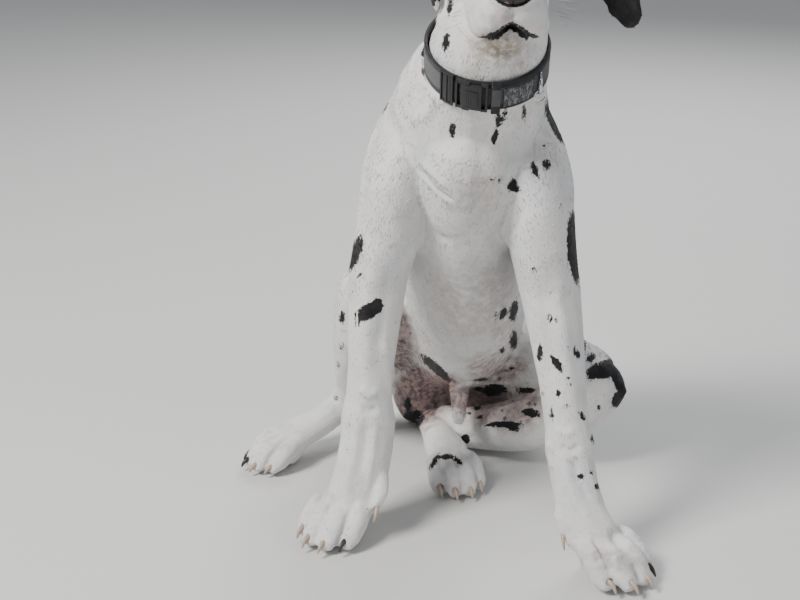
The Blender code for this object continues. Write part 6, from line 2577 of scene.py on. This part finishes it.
@dataclass
class Coat:
    """Thin, overlapping tufts that lie along the skin, in one object for each coat piece."""

    skin: Object
    root_depth: float = 0.45 * MM
    bake_patch: float = 0.003
    most_tufts: int = 19500
    copied: tuple[str, ...] = ("black", "dark", "pink", "stain", "ticks")

    def __post_init__(self) -> None:
        """Read the skin's triangles and the values stored on its points."""
        mesh = self.skin.data
        mesh.calc_loop_triangles()
        self.corners = read_rows(mesh.loop_triangles, "vertices", 3, np.int32)
        self.points = points_of(mesh)
        self.normals = normals_of(mesh)
        self.node = NODES.find(self.points)
        self.values = {name: read_attribute(mesh, name) for name in (*self.copied, "flow")}
        first, second, third = (self.points[self.corners[:, index]] for index in range(3))
        cross = np.cross(second - first, third - first)
        self.area = np.linalg.norm(cross, axis=1) / 2
        self.face_node = self.node[self.corners[:, 0]]
        self.kind = self.kinds()

    def kinds(self) -> np.ndarray:
        """Return the number in Region of each triangle of the skin."""
        regions = list(Region)
        first = self.corners[:, 0]
        node, points, normals = self.face_node, self.points[first], self.normals[first]
        kind = np.full(len(node), regions.index(Region.BODY))
        kind[on_nodes(node, "foreleg", "shank")] = regions.index(Region.LEGS)
        flow = self.values["flow"][first]
        backward = normals[:, 1] > 0.55
        below = normals[:, 2] < -0.5
        breaks = on_nodes(node, "foreleg", "thigh", "shank", "shoulder") & backward
        breaks &= flow[:, 2] < -0.3
        breaks |= on_nodes(node, "tail", "thigh") & below
        breaks |= on_nodes(node, "belly", "chest") & (normals[:, 2] < -0.8)
        breaks &= points[:, 2] > 1.2 * CM
        kind[breaks] = regions.index(Region.BREAK)
        kind[on_nodes(node, "head", "jaw")] = regions.index(Region.FACE)
        kind[on_nodes(node, "ear")] = regions.index(Region.EARS)
        kind[on_nodes(node, "forepaw", "hind_foot")] = regions.index(Region.FEET)
        return kind

    def bare(self, points: np.ndarray, normals: np.ndarray) -> np.ndarray:
        """Return which roots stand where no tuft grows: eyes, nose, lips, pads, under the collar."""
        found = np.zeros(len(points), dtype=bool)
        for eye in EYES:
            found |= apart(points, eye.centre) < eye.radius + 2.6 * MM
        found |= nose_distance(points) < 0.78 * NOSE_REACH
        found |= (points[:, 2] < 1.5 * MM) | ((normals[:, 2] < -0.75) & (points[:, 2] < 1.4 * CM))
        return found | COLLAR.covers(points)

    def roots(self, piece: CoatPiece, draw: np.random.Generator) -> dict[str, np.ndarray]:
        """Choose where a piece's tufts grow.

        Args:
            piece: the coat piece.
            draw: the random numbers to use.

        Returns:
            For each tuft its root, normal, flow, kind, node and the copied values.
        """
        mine = on_nodes(self.face_node, *piece.starts)
        spacing = np.array([region.value.spacing for region in Region])[self.kind] * MM
        density = np.where(mine, self.area / spacing ** 2, 0.0)
        total = min(int(density.sum()), self.most_tufts)
        chosen = draw.choice(len(density), size=total, p=density / density.sum())
        first, second = np.sqrt(draw.random(total)), draw.random(total)
        shares = np.stack((1 - first, first * (1 - second), first * second), axis=1)
        corners = self.corners[chosen]

        def blend(values: np.ndarray) -> np.ndarray:
            """Return values at the roots from those at the triangles' corners."""
            if values.ndim == 1:
                return (values[corners] * shares).sum(axis=1)
            return (values[corners] * shares[:, :, None]).sum(axis=1)

        found = {name: blend(values) for name, values in self.values.items()}
        found["root"] = blend(self.points)
        found["normal"] = unit(blend(self.normals))
        found["kind"] = self.kind[chosen]
        found["node"] = self.face_node[chosen]
        keep = ~self.bare(found["root"], found["normal"])
        return {name: values[keep] for name, values in found.items()}

    def grow(self, piece: CoatPiece, draw: np.random.Generator) -> Object:
        """Make one coat piece.

        Args:
            piece: the coat piece.
            draw: the random numbers to use.

        Returns:
            The piece's object.
        """
        roots = self.roots(piece, draw)
        count = len(roots["root"])
        table = np.array([[region.value.length, region.value.width, region.value.lift]
                          for region in Region])[roots["kind"]]
        vary = draw.normal(0, 1, (count, 3))
        length = table[:, 0] * MM * np.clip(1 + 0.22 * vary[:, 0], 0.5, 1.5)
        width = table[:, 1] * MM * np.clip(1 + 0.2 * vary[:, 1], 0.6, 1.5)
        lift = np.radians(table[:, 2]) * np.clip(1 + 0.45 * vary[:, 2], 0.2, 2.2)
        normal = roots["normal"]
        flow = unit(roots["flow"] - normal * (roots["flow"] * normal).sum(axis=1)[:, None])
        side = np.cross(normal, flow)
        sway = draw.normal(0, 0.10, count) + 0.22 * self.swirl(roots["root"])
        along = unit(flow + side * sway[:, None])
        side = np.cross(normal, along)
        rise = along * np.cos(lift)[:, None] + normal * np.sin(lift)[:, None]
        start = roots["root"] - normal * self.root_depth
        bend = draw.normal(0, 0.05, count)[:, None] * side
        middle = start + (rise + normal * 0.05 + bend) * (length * 0.55)[:, None]
        tip = start + unit(along * np.cos(lift * 0.8)[:, None] + normal * np.sin(lift * 0.8)[:, None]
                           + bend * 2.2) * length[:, None]
        half, thick = width[:, None] / 2, width[:, None] * 0.12
        points = np.stack((
            start - side * half * 0.9, start + side * half * 0.9, start + normal * thick * 1.4,
            middle - side * half, middle + side * half, middle + normal * thick * 1.6,
            tip,
        ), axis=1)
        pattern = np.array((
            (0, 2, 1), (0, 1, 4), (0, 4, 3), (1, 2, 5), (1, 5, 4), (2, 0, 3), (2, 3, 5),
            (3, 4, 6), (4, 5, 6), (5, 3, 6)))
        each = points.shape[1]
        faces = (np.arange(count)[:, None, None] * each + pattern).reshape(-1, 3)
        made = mesh_from_arrays(piece.name, points.reshape(-1, 3), faces)
        for name in (*self.copied, "root"):
            write_attribute(made, name, np.repeat(roots[name], each, axis=0))
        shade = np.clip(draw.normal(0.0, 0.5, count), -1, 1)
        write_attribute(made, "shade", np.repeat(shade, each))
        self.unwrap(made, roots, faces)
        LOG.info("%s: %d tufts", piece.name, count)
        return finish_piece(piece.name, made, CoatFinish(hair=True).build(piece.name), piece.slot)

    def swirl(self, points: np.ndarray) -> np.ndarray:
        """Return slow waves, -1 to 1, by which the hair leaves its chain's direction."""
        return np.sin(points @ (71.0, 43.0, 59.0)) * np.sin(points @ (-37.0, 83.0, 61.0) + 1.3)

    def unwrap(self, mesh: Mesh, roots: dict[str, np.ndarray], faces: np.ndarray) -> None:
        """Give each tuft a small patch of the OFBake map at its root's place on the skin's unwrap.

        The skin's unwrap has one square cell for each flesh node and each of the six ways that
        its surface can face, in which the surface lies flat.

        Args:
            mesh: the tufts.
            roots: what is known of each tuft's root.
            faces: the mesh's faces as rows of point numbers.
        """
        cells_across = 12
        normal = roots["normal"]
        axis = np.abs(normal).argmax(axis=1)
        way = axis * 2 + (np.take_along_axis(normal, axis[:, None], axis=1)[:, 0] > 0)
        cell = roots["node"] * 6 + way
        planes = np.array(((1, 2), (0, 2), (0, 1)))[axis]
        flat = np.take_along_axis(roots["root"], planes, axis=1)
        place = np.zeros((len(cell), 2))
        for number in np.unique(roots["node"]):
            low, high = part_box(FLESH[number])
            mine = roots["node"] == number
            size = max(high[index] - low[index] for index in range(3)) * 1.04
            start = np.array(low)[planes[mine]]
            place[mine] = np.clip((flat[mine] - start) / size, 0.0, 1.0)
        room = 1.0 / cells_across
        inner = room - 2 * self.bake_patch
        corner = np.stack((cell % cells_across, cell // cells_across), axis=1) * room
        middle = corner + self.bake_patch + place * inner
        half = self.bake_patch / 2
        shape = np.array(((-0.9, -1.0), (0.9, -1.0), (0.0, -0.8), (-1.0, 0.1), (1.0, 0.1),
                          (0.0, 0.2), (0.0, 1.0))) * half
        spots = (middle[:, None, :] + shape[None]).reshape(-1, 2)
        layer = mesh.uv_layers.new(name="OFBake")
        layer.data.foreach_set("uv", spots[faces.ravel()].astype(np.float32).ravel())

    def build(self) -> list[Object]:
        """Make every coat piece."""
        draw = np.random.default_rng(SEED)
        return [self.grow(piece, draw) for piece in COAT_PIECES]


def write_sizes() -> None:
    """Turn the boxes of the solids and of the finished model into plain lists."""
    boxes = {"cad": CAD_BOX, "scene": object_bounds()}
    plain = {name: [[float(value) for value in corner] for corner in box]
             for name, box in boxes.items()}


def report(*pieces: Object) -> None:
    """Log each finished piece with its number of faces."""
    for piece in pieces:
        LOG.info("%s: %d faces", piece.name, len(piece.data.polygons))


def main() -> None:
    """Build the dog, its collar and the stage."""
    camera = PhotoCamera()
    camera.build()
    Stage().build()
    skin = Skin(camera)
    body = skin.build()
    report(body)
    for eye in EYES:
        report(Eyeball(eye).build())
    report(Nose().build())
    report(Claws().build())
    report(Whiskers().build(skin.tree))
    for piece in COLLAR_PIECES:
        report(piece.build())
    report(*CollarRings().build())
    report(Stitching().build())
    report(*Coat(body).build())
    write_sizes()


if __name__ == "__main__":
    main()
